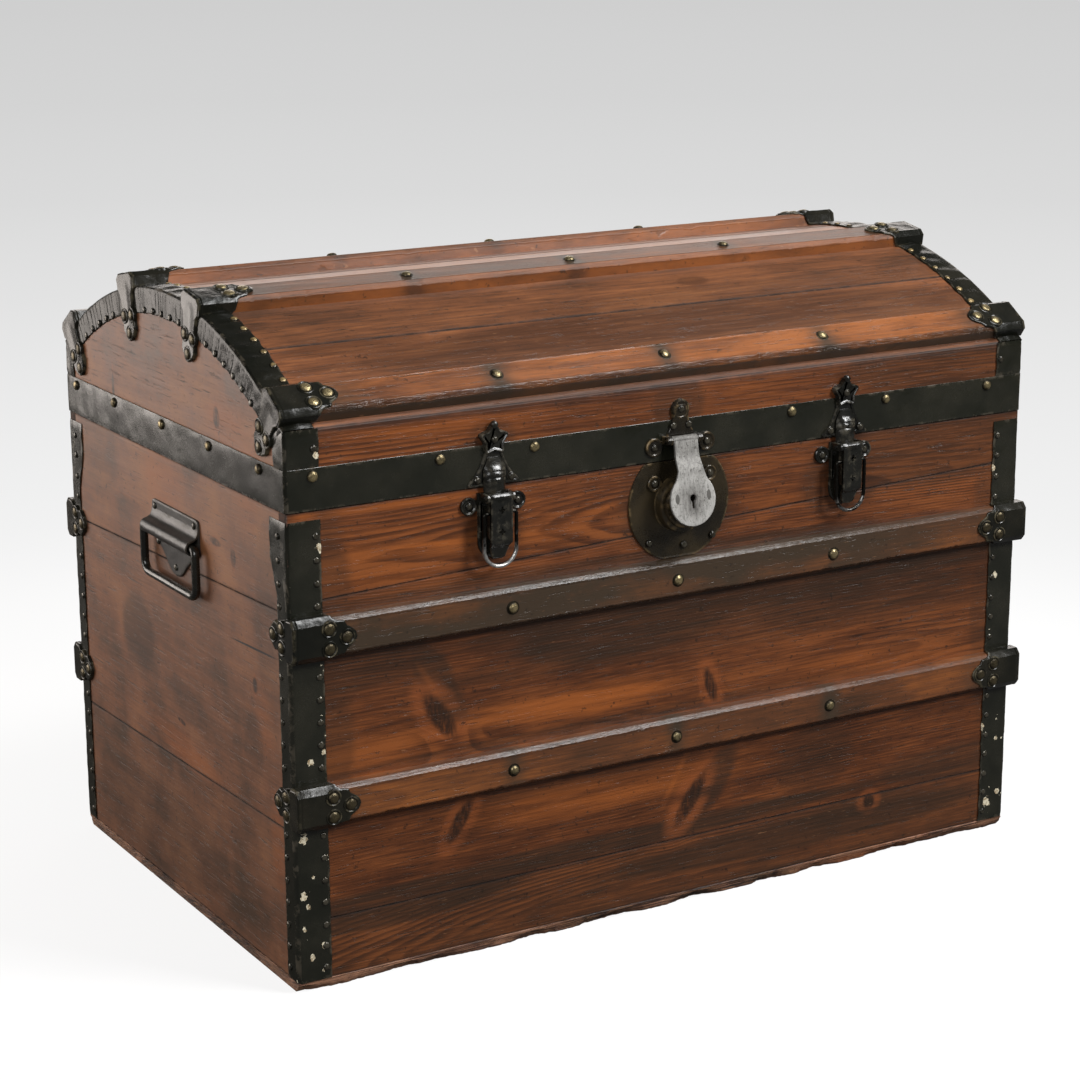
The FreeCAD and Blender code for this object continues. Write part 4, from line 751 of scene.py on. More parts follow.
END_GLOWS = on_end_side(-HALF_LENGTH, (
    (16, 418, 60, 40, 0, 0.5), (-175, 457, 46, 60, 0, 0.5), (-11, 160, 110, 22, 8, 0.5),
    (-198, 246, 30, 50, 0, 0.45), (-130, 500, 60, 30, 0, 0.5), (-216, 130, 20, 60, 0, 0.6),
))
END_CRACK = on_end_side(-HALF_LENGTH, ((-176, 303.5, 60, 1.4, -3),))
# Stains of the dome. The two rows at x 60 that run its whole length, just above and just below its front slat,
# are painted shade.
DOME_STAINS_AND_SHADE = [(centre, radii, (0, 0, 0), strength) for centre, radii, strength in (
    ((150, -146, 572), (330, 24, 20), 0.5), ((-290, -165, 562), (90, 16, 16), 0.6),
    ((60, -196, 553), (460, 60, 30), 0.95), ((330, -200, 550), (120, 30, 30), 0.35),
    ((60, -240, 520), (460, 30, 20), 0.9), ((100, -118, 581), (22, 12, 20), 0.6),
)]
BOTTOM_GLOWS = on_long_side(-HALF_DEPTH, ((230, 4, 120, 30, 0, 0.5),))
# Chips in the paint of the front irons: a place along and up, and a radius.
IRON_CHIPS = (
    (-398, 147, 5.5), (-389, 216, 3.6), (-376, 224, 2.6), (-399, 93, 4.6), (-395, 82, 3.0),
    (-399, 62, 2.8), (-389, 109, 2.2), (-380, 43, 3.6), (-392, 33, 3.4), (-381, 19, 2.2),
    (373, 113, 4.0), (392, 98, 2.8), (384, 30, 6.0), (397, 39, 3.6), (382, 274, 3.6), (-375, 409, 4.6),
    (374, 387, 3.6), (-376, 491, 3.4),
)

FRONT_WOOD = wood(
    "front_wood", (0.032, 0.012, 0.006), (0.088, 0.027, 0.0092), (0.19, 0.058, 0.016), spacing=0.0027,
    figure=0.30,
    patches=0.8, threads=1.0, edge=0.9, knots=LONG_KNOTS, stains_and_shade=LONG_STAINS, glows=LONG_GLOWS,
    figured=LONG_FIGURE,
)
END_WOOD = wood(
    "end_wood", (0.072, 0.036, 0.020), (0.165, 0.064, 0.029), (0.26, 0.106, 0.043), figure=0.05, patches=1.6,
    threads=0.35, edge=0.95, shine=0.42, veil=0.5, knots=END_KNOTS, stains_and_shade=END_STAINS, glows=END_GLOWS,
    cracks=END_CRACK,
)
DOME_WOOD = wood(
    "dome_wood", (0.055, 0.025, 0.014), (0.160, 0.058, 0.024), (0.28, 0.105, 0.036), figure=0.06, patches=1.0,
    threads=0.9, edge=0.9, shine=0.29, stain_and_shade_colour=(0.050, 0.019, 0.008), stains_and_shade=DOME_STAINS_AND_SHADE,
)
SLAT_COLOURS = (0.036, 0.017, 0.009), (0.115, 0.038, 0.013), (0.26, 0.082, 0.018)
SLAT_FIGURE = {"spacing": 0.003, "figure": 0.16, "patches": 1.0, "scuff": 0.2}
SLAT_WOOD = wood("slat_wood", *SLAT_COLOURS, **SLAT_FIGURE, edge=0.6, shine=0.24, matt=-0.08, veil=0.5)
DOME_SLAT_WOOD = wood("dome_slat_wood", *SLAT_COLOURS, **SLAT_FIGURE, edge=0.2, shine=0.26, matt=0.24,
                      veil=0.45)
BOTTOM_WOOD = wood(
    "bottom_wood", (0.010, 0.006, 0.005), (0.075, 0.030, 0.018), (0.40, 0.20, 0.12), patches=2.4, threads=1.6,
    edge=0.3, scuff=0.95, shine=0.3, matt=0.1, glows=BOTTOM_GLOWS,
)
PAINTED = iron(
    "painted_iron", (0.0082, 0.0086, 0.0054), (0.0175, 0.0165, 0.011), gloss=0.17, lump=1.1, grit=0.4,
    calm=0.3,
    chips=IRON_CHIPS,
)
GATHERED = iron(
    "gathered_iron", (0.006, 0.0062, 0.0045), (0.014, 0.013, 0.009), gloss=0.19, lump=2.0, grit=0.4,
    veil=0.15,
    calm=0.45,
)
CASTING = iron(
    "cast_iron", (0.006, 0.0062, 0.0045), (0.015, 0.0135, 0.009), gloss=0.16, lump=1.2,
    worn=(0.09, 0.075, 0.045),
    grit=0.5, veil=0.30, calm=0.25,
)
HARDWARE_MATT = iron("dull_hardware", (0.012, 0.011, 0.0095), (0.026, 0.023, 0.020), gloss=0.32, lump=0.6)
HARDWARE = iron("black_hardware", (0.005, 0.005, 0.004), (0.012, 0.011, 0.008), gloss=0.14,
                worn=(0.08, 0.07, 0.05))
BRONZE = iron(
    "lock_bronze", (0.012, 0.010, 0.007), (0.036, 0.026, 0.013), lump=1.2, worn=(0.20, 0.135, 0.06),
    metallic=0.3,
)
RIVET_BRASS = brass("rivet_brass", (0.34, 0.27, 0.14), (0.022, 0.017, 0.010), metallic=0.75, gloss=0.24)
NAIL_DARK = brass("nail_dark", (0.07, 0.062, 0.045), (0.008, 0.007, 0.005), metallic=0.4, gloss=0.05)
HASP_STEEL = steel(
    "hasp_steel", (0.39, 0.38, 0.36), (0.085, 0.080, 0.072), (1.3, 1.3, 0.16), gloss=0.47, metallic=0.15,
    stained=0.18, shaded_above=0.425,
)
WIRE = steel("wire_steel", (0.55, 0.54, 0.52), (0.012, 0.011, 0.009), (0.2, 0.2, 0.2), gloss=0.2)


# ---- Boards -------------------------------------------------------------------------

BOARD_EDGE = [(9.0, 0.0, 0.0), (2.4, 0.0, 0.0), (0.9, 0.05, 0.35), (0.3, 0.3, 1.0), (0.0, 1.1, 1.0)]


def board_levels(thick):
    """Insets, heights and wear of a board whose face is at height 0, from its back to its face."""
    back = [(inset, drop - thick, wear) for inset, drop, wear in BOARD_EDGE]
    face = [(inset, -drop, wear) for inset, drop, wear in reversed(BOARD_EDGE)]
    return back + face


def sawn(u, seed):
    """Unevenness of a sawn edge."""
    return 0.2 + 0.2 * wander(u, seed, size=14) + 0.15 * wander(u, seed, size=60)


def wall(piece, place, length, seams, number, tone, along_y=False):
    """Wall of boards one on another. Each seam is a height at the start and at the end of the wall."""
    lines = [(BOTTOM, BOTTOM), *seams, (BOX_HEIGHT, BOX_HEIGHT)]
    for index, (bottom, top) in enumerate(zip(lines, lines[1:])):
        under, over = [], []
        edge_seed = number * 97 + index * 31
        for u in steps(-length, length, int(2 * length / 16)):
            share = (u + length) / (2 * length)
            under.append((u, bottom[0] + (bottom[1] - bottom[0]) * share + sawn(u, edge_seed)))
            over.append((u, top[0] + (top[1] - top[0]) * share - sawn(u, edge_seed + 500)))
        middle = (bottom[0] + top[0]) / 2 + 40 * wander(number * 13.7, index * 17.9, size=10)
        seed = number * 211.0 + index * 67.0
        if along_y:
            grain = lambda p, m=middle, s=seed: Vector((p.y + s, p.z - m, p.x))
        else:
            grain = lambda p, m=middle, s=seed: Vector((p.x + s, p.z - m, p.y))
        relief(piece, under + over[::-1], board_levels(WALL), place, grain=grain, tone=tone[index])


def make_walls():
    """Front, back and both ends of the box."""
    long_walls = (
        ("front", on_front(), ((66.5, 66.5), (360.7, 392.9)), (-0.3, 0.25, 0.3)),
        ("back", on_back(), ((70, 64), (384, 372)), (-0.3, 0.1, 0.2)),
    )
    for number, (name, place, seams, tone) in enumerate(long_walls, 1):
        piece = Piece()
        wall(piece, place, HALF_LENGTH, seams, number, tone)
        piece.done(name + "_boards_worn", "box", "case_wood", FRONT_WOOD)
    end_seams = {"left": ((151.0, 138.5), (351.5, 333.0)), "right": ((140.0, 149.0), (338.0, 345.0))}
    for number, (name, side) in enumerate(SIDES, 3):
        piece = Piece()
        wall(piece, on_end(side), HALF_DEPTH - WALL, end_seams[name], number, (-0.2, 0.1, 0.35), along_y=True)
        piece.done(name + "_end_boards_worn", "box", "case_wood", END_WOOD)


def broken_edge(x, seed):
    """How far an outer edge of the bottom is eaten back at x, and how high its underside is cut away."""
    bite = max(0.0, 0.25 * wander(x, 7 + seed, size=9) + 1.3 * wander(x, 8 + seed, size=48) + 0.3)
    notch = max(0.0, wander(x, 12 + seed, size=17) - 0.35)
    bite = unit(bite + 0.15 * wander(x, 9 + seed, size=2.6) + 0.35 * notch)
    corner = max(0.0, (abs(x) - HALF_LENGTH + 34.0) / 34.0) ** 2
    return 4.0 * bite, 1.2 + 5.2 * max(bite, corner)


def make_bottom():
    """Three bottom boards with broken outer edges."""
    piece = Piece()
    whole = (0.1, 0.6)
    shoulder = BOTTOM - 0.8
    wear = [1.0, 1.0, 1.0, 0.8, 0.7, 0.4, 0.4, 0.7, 0.8, 1.0, 1.0, 1.0]
    edges = (-HALF_DEPTH, -HALF_DEPTH + 168, -HALF_DEPTH + 336, HALF_DEPTH)
    for index, (near, far) in enumerate(zip(edges, edges[1:])):
        rings = []
        for x in steps(-HALF_LENGTH, HALF_LENGTH, 300):
            eaten, cut_near = broken_edge(x, 0) if index == 0 else whole
            low_near = near + 0.2 + eaten
            eaten, cut_far = broken_edge(x, 10) if index == 2 else whole
            low_far = far - 0.2 - eaten
            step = 2.2 * max(0.0, wander(x, 31, size=14))
            rings.append([Vector((x, y, z)) for y, z in (
                (low_near + cut_near * 0.5 + 1.0, 0.0), (low_near + 0.6, cut_near * 0.6),
                (low_near - step * 0.1, cut_near), (near + 0.2 + 0.25 * step, (cut_near + shoulder) * 0.5),
                (near + 0.2, shoulder), (near + 1.0, BOTTOM), (far - 1.0, BOTTOM), (far - 0.2, shoulder),
                (far - 0.2 - 0.25 * step, (cut_far + shoulder) * 0.5), (low_far, cut_far),
                (low_far - 0.6, cut_far * 0.6), (low_far - cut_far * 0.5 - 1.0, 0.0),
            )])
        grain = lambda p, i=index: Vector((p.x + 300 * i, p.z * 3 + p.y * 0.3, p.y))
        loft(piece, rings, wear, grain=grain, tone=0.1 * index)
    piece.done("bottom_boards_chipped", "box", "bottom_wood", BOTTOM_WOOD)


def make_lid_rails():
    inner = HALF_DEPTH - WALL
    bevel_z = DOME_AXIS_Z + inner / math.tan(DOME_EDGE)
    for name, side in (("front", -1), ("back", 1)):
        rail = Piece()
        rings = []
        for x in steps(-HALF_LENGTH + 1.1, HALF_LENGTH - 1.1, 60):
            dip = 0.25 + 0.2 * wander(x, side * 5, size=18)
            rings.append([Vector((x, side * y, z)) for y, z in (
                (HALF_DEPTH - 1.2, LID_BOTTOM), (HALF_DEPTH, LID_BOTTOM + 1.2), (HALF_DEPTH, LID_BOTTOM + 9),
                (HALF_DEPTH, DOME_EDGE_Z - 8), (HALF_DEPTH, DOME_EDGE_Z - 1.4),
                (HALF_DEPTH - 0.8, DOME_EDGE_Z - dip),
                (inner, bevel_z - dip), (inner, LID_BOTTOM + 1), (inner + 1, LID_BOTTOM),
            )])
        grain = lambda p, s=side: Vector((p.x + 900 + s * 100, p.z - 455, p.y))
        loft(rail, rings, [1.0, 1.0, 0.0, 0.0, 0.6, 1.0, 0.3, 0.3, 0.3], grain=grain, tone=0.15)
        rail.done("lid_" + name + "_rail_worn", "lid", "case_wood", FRONT_WOOD)


def make_lid_ends():
    inner = HALF_DEPTH - WALL
    radius = DOME_RADIUS - DOME_BOARD
    top = math.asin(inner / radius) - 0.002
    arc = [(radius * math.sin(a), DOME_AXIS_Z + radius * math.cos(a) - 0.1) for a in steps(top, -top, 60)]
    outline = [(-inner + 0.1, LID_BOTTOM), (inner - 0.1, LID_BOTTOM)] + arc
    for name, side in SIDES:
        end = Piece()
        grain = lambda p, s=side: Vector((p.y + 700 + s * 100, p.z - 470, p.x))
        relief(end, outline, board_levels(WALL), on_end(side), grain=grain, tone=0.45)
        end.done("lid_end_" + name + "_worn", "lid", "case_wood", END_WOOD)


def make_dome():
    """Curved boards of the dome, each a little cupped, with open seams."""
    dome = Piece()
    seams = [math.radians(angle) for angle in (-22.2, -9.4, 3.4, 16.2, 29.0)]
    edges = [-DOME_EDGE, *seams, DOME_EDGE]
    # places across a board's face, and how far its edges there are worn down
    face = ((0.0, 0.9), (0.005, 0.25), (0.012, 0), (0.022, 0), (0.14, 0), (0.3, 0), (0.5, 0), (0.7, 0),
            (0.86, 0),
            (0.978, 0), (0.988, 0), (0.995, 0.25), (1.0, 0.9))
    wear = [1.0, 0.9, 0.4] + [0.0] * 7 + [0.4, 0.9, 1.0, 1.0] + [0.3] * 5 + [1.0]
    for index, (low, high) in enumerate(zip(edges, edges[1:])):
        rings = []
        for x in steps(-HALF_LENGTH, HALF_LENGTH, 54):
            start = low + (0.0008 if index else 0.0) + 0.0005 * (1 + wander(x, index * 9, size=20))
            end = high - (0.0008 if index < 5 else 0.0) - 0.0005 * (1 + wander(x, index * 9 + 4, size=20))
            ring = []
            for share, drop in face:
                cup = 0.35 * (1 - (2 * share - 1) ** 2) * (0.5 + 0.5 * wander(index * 31.0, size=10))
                ring.append(on_dome(start + (end - start) * share, x, 0, cup - 0.35 - drop))
            ring.append(on_dome(high, x, 0, -3.0))
            ring += [on_dome(low + (high - low) * share, x, 0, -DOME_BOARD) for share in (1.0, 0.75, 0.5,
                                                                                          0.25, 0.0)]
            ring.append(on_dome(low, x, 0, -3.0))
            rings.append(ring)

        def grain(p, m=(low + high) / 2, i=index):
            angle = math.atan2(p.y, p.z - DOME_AXIS_Z)
            return Vector((p.x + 1300 + 173 * i, (angle - m) * DOME_RADIUS + 25 * (i % 3 - 1), 0.0))

        loft(dome, rings, wear, grain=grain, tone=(0.1, -0.15, 0.2, 0.05, -0.1, 0.1)[index])
    dome.done("dome_boards_worn", "lid", "dome_wood", DOME_WOOD)


def slat_ring(place, x, seed):
    """Section of a slat at x, with bruised bevels."""
    ring = []
    for edge in (1, -1):
        bruise = max(0.0, wander(x, seed + edge * 7, size=9) - 0.2) * 3.0
        bruise += 0.35 * wander(x, seed + edge * 3, size=45)
        bruise += 0.5 * wander(x, seed + edge * 5, size=3.5)
        bruise *= 0.35 if edge > 0 else 1.0
        half = SLAT_HALF - 0.15 * abs(wander(x, seed + edge, size=25))
        cut = 4.0 + max(-0.4, bruise)
        low, flat = SLAT_THICK - cut, SLAT_HALF - cut
        side = [(half, -1.9), (half, low - 1.6), (half, low - 0.5), (half - 0.4, low + 0.3),
                (flat + 0.4, SLAT_THICK - 0.25), (flat - 0.6, SLAT_THICK), (flat - 1.8, SLAT_THICK)]
        ring += [place(x, across * edge, out) for across, out in (side if edge > 0 else side[::-1])]
    return ring


def slat_soot(name, x):
    """Soot, painted shade and painted light round a slat's section at x. Soot beside rivets and clamps, as
    photographed. Upper dome slats get painted shade on the rear side and bevel, and painted light (values
    below zero) on the front bevel and side; the front dome slat gets painted shade on its lower bevel and
    underside.
    """
    near = min(abs(x - rivet) for rivet in SLAT_RIVETS)
    dark = 0.9 * math.exp(-((near / 14.0) ** 2))
    dark += 0.5 * math.exp(-(((HALF_LENGTH - 55 - abs(x)) / 22.0) ** 2))
    dark = max(dark, SLAT_SMOKE.get(name, 0.0) * (1 - 0.4 * unit(x / 250.0)))
    high, low = dark, [dark] * 5
    # painted shade on the rear side and bevel of the upper dome slats, painted light (below zero) on their
    # front bevel and side
    if name.startswith("lid_slat_upper"):
        high, low = max(dark, 0.7), [dark - 0.75] * 5
    # painted shade on the lower bevel and underside of the front dome slat
    elif name == "lid_slat_front":
        low = [dark, dark + 0.3, 0.95, 1.0, 1.0]
    return [dark] * 2 + [high] * 3 + [dark] * 4 + low


SLAT_SMOKE = {
    "front_slat_upper": 0.95, "front_slat_lower": 0.25, "lid_slat_upper_front": 0.3,
    "lid_slat_upper_rear": 0.55,
}
SLAT_TONE = {"lid_slat_front": 0.5, "lid_slat_upper_front": 0.1}


def make_slats():
    """Bevelled slats with bruised edges. Those of the box are less rubbed towards the right."""
    worn = [0.0, 0.0, 0.5, 1.0, 1.0, 0.6, 0.0, 0.0, 0.6, 1.0, 1.0, 0.5, 0.0, 0.0]
    for number, (name, body, place) in enumerate(slat_seats()):
        rings, soot, wear = [], [], []
        for x in steps(-HALF_LENGTH + 1.5, HALF_LENGTH - 1.5, 270):
            rings.append(slat_ring(place, x, number * 41.0))
            soot += slat_soot(name, x)
            fade = 1.0 if body == "lid" else 1.0 - 0.6 * unit((x + 60) / 140.0)
            wear += [value * fade for value in worn]
        origin = place(0, 0, SLAT_THICK)
        along, up = place(1, 0, SLAT_THICK) - origin, place(0, 1, SLAT_THICK) - origin

        def grain(p, o=origin, a=along, u=up, n=along.cross(up), k=number):
            d = p - o
            return Vector((d.dot(a) + 500.0 * k, d.dot(u) + 22 * wander(k * 7.7, size=5), d.dot(n)))

        piece = Piece()
        loft(piece, rings, wear, grain=grain, tone=SLAT_TONE.get(name, 0.0), soot=soot)
        material = SLAT_WOOD if body == "box" or name == "lid_slat_front" else DOME_SLAT_WOOD
        piece.done(name + "_worn", body, "slat_wood", material, sharp=25)


# ---- Sheet iron ---------------------------------------------------------------------

TACK = (3.3, 1.7)  # radius and height of a head
TACK_X, TACK_Y = 378.2, 236.2  # where the tacks stand on the front and end flanges


def angle_path(share, front, end, bend, out):
    """Point in plan on a folded sheet, from its front flange (0) round the corner to its end flange (1)."""
    lengths = (front - bend, bend * math.pi / 2, end - bend)
    way = share * sum(lengths)
    if way < lengths[0]:
        return Vector((-HALF_LENGTH - out + front - way, -HALF_DEPTH - out)), Vector((0, -1))
    if way < lengths[0] + lengths[1]:
        turn = (way - lengths[0]) / bend
        normal = Vector((-math.sin(turn), -math.cos(turn)))
        return Vector((-HALF_LENGTH - out + bend, -HALF_DEPTH - out + bend)) + normal * bend, normal
    rest = way - lengths[0] - lengths[1]
    return Vector((-HALF_LENGTH - out, -HALF_DEPTH - out + bend + rest)), Vector((-1, 0))


def folded_iron(piece, sx, sy, front, end_width, low, high, seed):
    """Corner iron of thin sheet, dented, with edges that lift between its tacks."""
    rows = steps(low, high, int((high - low) / 4))
    shares = [0.0, 0.012, 0.05] + steps(0.1, 0.52, 7) + steps(0.54, 0.7, 8)
    shares += steps(0.75, 0.95, 4) + [0.988, 1.0]

    def place(z, share):
        ripple = 0.35 * math.cos(2 * math.pi * (z - low) / TACK_PITCH) + 0.5 * wander(z, seed, size=25)
        bend = 4.5 if low < BAND_TOP else 3.4
        point, normal = angle_path(share, front + ripple, end_width(z) + 0.5 * ripple, bend, IRON_THICK)
        rim = min(share, 1 - share)
        dent = 0.35 * wander(z, share * 60, seed, size=14) + 0.25 * wander(z, share * 90, seed, size=5)
        fold = 0.55 < share < 0.7
        out = dent * (1.0 if fold else 0.5) - (0.5 if rim < 0.01 else 0.0)
        out += 0.25 * (1 - math.cos(2 * math.pi * (z - low) / TACK_PITCH)) * max(0.0, 1 - rim / 0.2)
        edge = min(z - low, high - z)
        out -= 0.5 if edge < 0.5 else 0.0
        point = point + normal * out
        return Vector((point.x * -sx, point.y * -sy, z))

    def wear(z, share):
        rim = min(share, 1 - share)
        return 1.0 if rim < 0.03 or 0.56 < share < 0.68 or min(z - low, high - z) < 3 else 0.0

    patch(piece, place, rows, shares, 1.1 * sx * sy, wear)


def box_flange(z):
    """Width of a box iron's end flange, which widens towards its top."""
    return 22.0 + 12.0 * unit((z - 366.0) / 34.0)


def lid_flange(z):
    return 22.0 - 0.5 * max(0, z - 505)


def make_corner_irons():
    """Corner irons of the box and, above the band, of the lid."""
    front_flange = 33.0
    number = 0
    for wall_name, sy in (("front", -1), ("rear", 1)):
        for side, sx in SIDES:
            number += 1
            piece = Piece()
            folded_iron(piece, sx, sy, front_flange, box_flange, BOTTOM, BOX_HEIGHT - 8.0, number * 57.0)
            piece.done("corner_iron_" + wall_name + "_" + side + "_bent", "box", "sheet_iron", PAINTED)
    lid = Piece()
    for sx in (-1, 1):
        for sy in (-1, 1):
            number += 1
            folded_iron(lid, sx, sy, front_flange, lid_flange, BAND_TOP, DOME_EDGE_Z + 0.2, number * 57.0)
    lid.done("lid_corner_irons_bent", "lid", "sheet_iron", PAINTED)
    tacks = []
    for step in range(20):
        z = BOTTOM + 10.5 + step * TACK_PITCH
        if z > BOX_HEIGHT - 19 or min(abs(z - height) for height in BOX_SLATS.values()) < 23.2:
            continue
        for sx in (-1, 1):
            for sy in (-1, 1):
                shift = 1.2 * wander(z, sx * 11, sy * 17, size=6)
                front_x, end_y = TACK_X + shift * 0.5, TACK_Y + shift * 0.5
                tacks.append(((sx * front_x, sy * (HALF_DEPTH + IRON_THICK), z + shift), (0, sy, 0)))
                tacks.append(((sx * (HALF_LENGTH + IRON_THICK), sy * end_y, z + shift), (sx, 0, 0)))
    piece = Piece()
    heads(piece, tacks, *TACK)
    piece.done("corner_iron_tack_heads", "box", "nail_brass", NAIL_DARK, "corner_iron_tacks")


def make_band():
    """Flat band around the lid, with soft corners and lumpy paint."""
    bend = 4.0
    half_x, half_y = HALF_LENGTH + BAND_THICK, LID_FACE
    corners = []
    for sx, sy, turn in ((1, -1, 0), (1, 1, 1), (-1, 1, 2), (-1, -1, 3)):
        centre = Vector((sx * (half_x - bend), sy * (half_y - bend)))
        for angle in steps(-math.pi / 2, 0, 5):
            way = angle + turn * math.pi / 2
            normal = Vector((math.cos(way), math.sin(way)))
            corners.append((centre + normal * bend, normal))
    ring = []
    for (a, normal), (b, _) in zip(corners, corners[1:] + corners[:1]):
        ring.append((a, normal))
        pieces = int((b - a).length / 7)
        for step in range(1, pieces):
            ring.append((a.lerp(b, step / pieces), normal))
    heights = [0.0, 0.25, 2.5, 7.0, 12.0, 18.0, 24.0, 30.0, 34.5, 37.25, BAND_HIGH]

    def place(index, height):
        point, normal = ring[index]
        way = index * 7.0
        out = 0.28 * wander(way, height, size=17) + 0.18 * wander(way, height, 40, size=6)
        edge = min(height, BAND_HIGH - height)
        out -= 0.3 if edge < 0.1 else (0.1 if edge < 1 else 0.0)
        sag = 1.4 * min(0.0, 0.35 * wander(way, 90, size=22)) if height > 30 else 0.0
        point = point + normal * min(out, 0.3)
        return Vector((point.x, point.y, LID_BOTTOM + height + sag))

    def wear(index, height):
        normal = ring[index][1]
        return 1.0 if min(height, BAND_HIGH - height) < 1 or abs(normal.x * normal.y) > 0.01 else 0.0

    piece = Piece()
    patch(piece, place, list(range(len(ring))), heights, 1.3, wear, wrap=True)
    piece.done("lid_band_painted", "lid", "sheet_iron", PAINTED)
    places = []
    for x in (-380, -256, -160, 123, 235, 361):
        places.append(((x, -LID_FACE, BAND_RIVET_Z + wander(x, size=9)), FORWARD))
        if abs(abs(x) - HINGE_X) >= 26:
            places.append(((x, LID_FACE, BAND_RIVET_Z), BACKWARD))
    for y in (-203, -97, 10, 126, 225):
        for sx in (-1, 1):
            places.append(((sx * (HALF_LENGTH + BAND_THICK), y, BAND_RIVET_Z + wander(y, size=9)),
                           (sx, 0, 0)))
    piece = Piece()
    heads(piece, places, 5.0, 3.0)
    piece.done("lid_band_rivet_heads", "lid", "rivet_brass", RIVET_BRASS, "lid_band_rivets")


BINDING_OUT, BINDING_BEND = 1.2, 2.2
FOLD_START, FOLD_END = 22.8, 26.4  # of the fold, along a binding's section
BINDING_WAYS = (0.0, 0.8, 3, 6, 9, 12, 15, 18, 20.5, FOLD_START, 24.0, 25.2, FOLD_END, 28.5, 32, 37, 42, 47,
                51.5,
                53.2, 54.0)


def binding_place(angle, way, s):
    """Point of a binding, by the way along its section: up the end, over the fold and along the dome."""
    arc = angle * DOME_RADIUS
    phase = arc / 11.0 + 1.6 * wander(arc, 5 * s, size=26)
    depth = 0.35 + 0.65 * unit(0.5 + 1.3 * wander(arc, 71 * s, size=30))
    lean = 0.35 * wander(arc, 88 * s, size=24) * (FOLD_START - way) / FOLD_START
    turn = (phase + lean) % 1.0
    pleat = (turn ** 0.7 if turn < 0.8 else 4.3 * (1.0 - turn)) * depth
    pleat += 0.3 * wander(arc, way, 12 * s, size=7)
    if way < FOLD_START:
        inward = 1 - way / FOLD_START
        radius = DOME_RADIUS + BINDING_OUT - BINDING_BEND - (FOLD_START - way)
        if inward > 0.9:
            edge = 0.3 * math.cos(2 * math.pi * phase) + 0.9 * wander(arc, 30 * s, size=16)
            radius -= edge * inward
        out = BINDING_OUT + 1.25 * (pleat - 0.4) * min(1.0, 0.45 + inward) - (0.7 if way < 0.5 else 0.0)
        x = HALF_LENGTH + min(2.6, max(0.4, out))
    elif way < FOLD_END:
        turn = (way - FOLD_START) / (FOLD_END - FOLD_START) * math.pi / 2
        radius = DOME_RADIUS + BINDING_OUT - BINDING_BEND + BINDING_BEND * math.sin(turn)
        x = HALF_LENGTH + BINDING_OUT - BINDING_BEND
        x += (BINDING_BEND + 0.25 * (pleat - 0.4)) * math.cos(turn)
    else:
        between_tacks = math.cos(2 * math.pi * arc / TACK_PITCH)
        pillow = 0.5 - 0.5 * between_tacks
        swell = 1.3 * pillow * math.sin(math.pi * (way - FOLD_END) / 29.0)
        swell += 1.1 * wander(arc, way * 0.8, 3 * s, size=19) * pillow
        swell += 1.2 * max(0.0, wander(arc, way * 0.7, 9 * s, size=28)) * (way < 45)
        radius = DOME_RADIUS + BINDING_OUT + max(-0.1, swell) + 0.25 * wander(arc, way, size=6)
        radius -= 0.6 if way > 53.9 else 0.0
        ragged = wander(arc, 55 * s, size=12) + 0.5 * between_tacks
        x = HALF_LENGTH + BINDING_OUT - BINDING_BEND - (way - FOLD_END) - (ragged if way > 50 else 0.0)
    return Vector((s * x, math.sin(angle) * radius, DOME_AXIS_Z + math.cos(angle) * radius))


def make_bindings():
    """Sheet iron gathered in pleats over both ends of the dome, and all tacks of the lid."""
    for name, sx in SIDES:
        piece = Piece()
        patch(piece, lambda angle, way, s=sx: binding_place(angle, way, s), steps(-DOME_EDGE, DOME_EDGE, 460),
              BINDING_WAYS, 1.0 * sx, lambda angle, way: 1.0 if way < 1 or way > 53 or 23 < way < 27 else 0.0)
        piece.done("dome_binding_" + name + "_pleated", "lid", "sheet_iron", GATHERED)
    step = TACK_PITCH / DOME_RADIUS
    covered = 23.2 / DOME_RADIUS
    places, gilt = [], []
    for turn in range(-12, 13):
        angle = turn * step
        to_slat = min(abs(angle - slat) for slat in LID_SLATS.values())
        if abs(angle) > DOME_EDGE - step / 2 or to_slat < covered:
            continue
        normal = Vector((0, math.sin(angle), math.cos(angle)))
        axis = Vector((0, 0, DOME_AXIS_Z))
        for sx in (-1, 1):
            side = Vector((sx, 0, 0))
            places.append((axis + normal * (DOME_RADIUS - 20.6) + side * (HALF_LENGTH + IRON_THICK), side))
            gilt.append((axis + normal * (DOME_RADIUS + BINDING_OUT) + side * (HALF_LENGTH - 24.4), normal))
    for sx in (-1, 1):
        for sy in (-1, 1):
            places.append((Vector((sx * TACK_X, sy * (HALF_DEPTH + IRON_THICK), 496.8)), Vector((0, sy, 0))))
    piece = Piece()
    heads(piece, places, *TACK)
    heads(piece, gilt, 3.4, 1.8, tone=0.8)
    piece.done("lid_tack_heads", "lid", "nail_brass", NAIL_DARK, "lid_tacks")


# ---- Clamps -------------------------------------------------------------------------

def over_slat(way):
    """Place across and out, on a clamp bent over a slat, by the distance from its middle."""
    side = 1 if way >= 0 else -1
    way = abs(way)
    flat, slope = 14.4, 6.3
    if way < flat:
        return side * way, 14.8
    if way < flat + slope:
        share = (way - flat) / slope
        return side * (flat + share * (19.8 - flat)), 14.8 - share * 4.6
    return side * 19.8, 10.2 - (way - flat - slope)


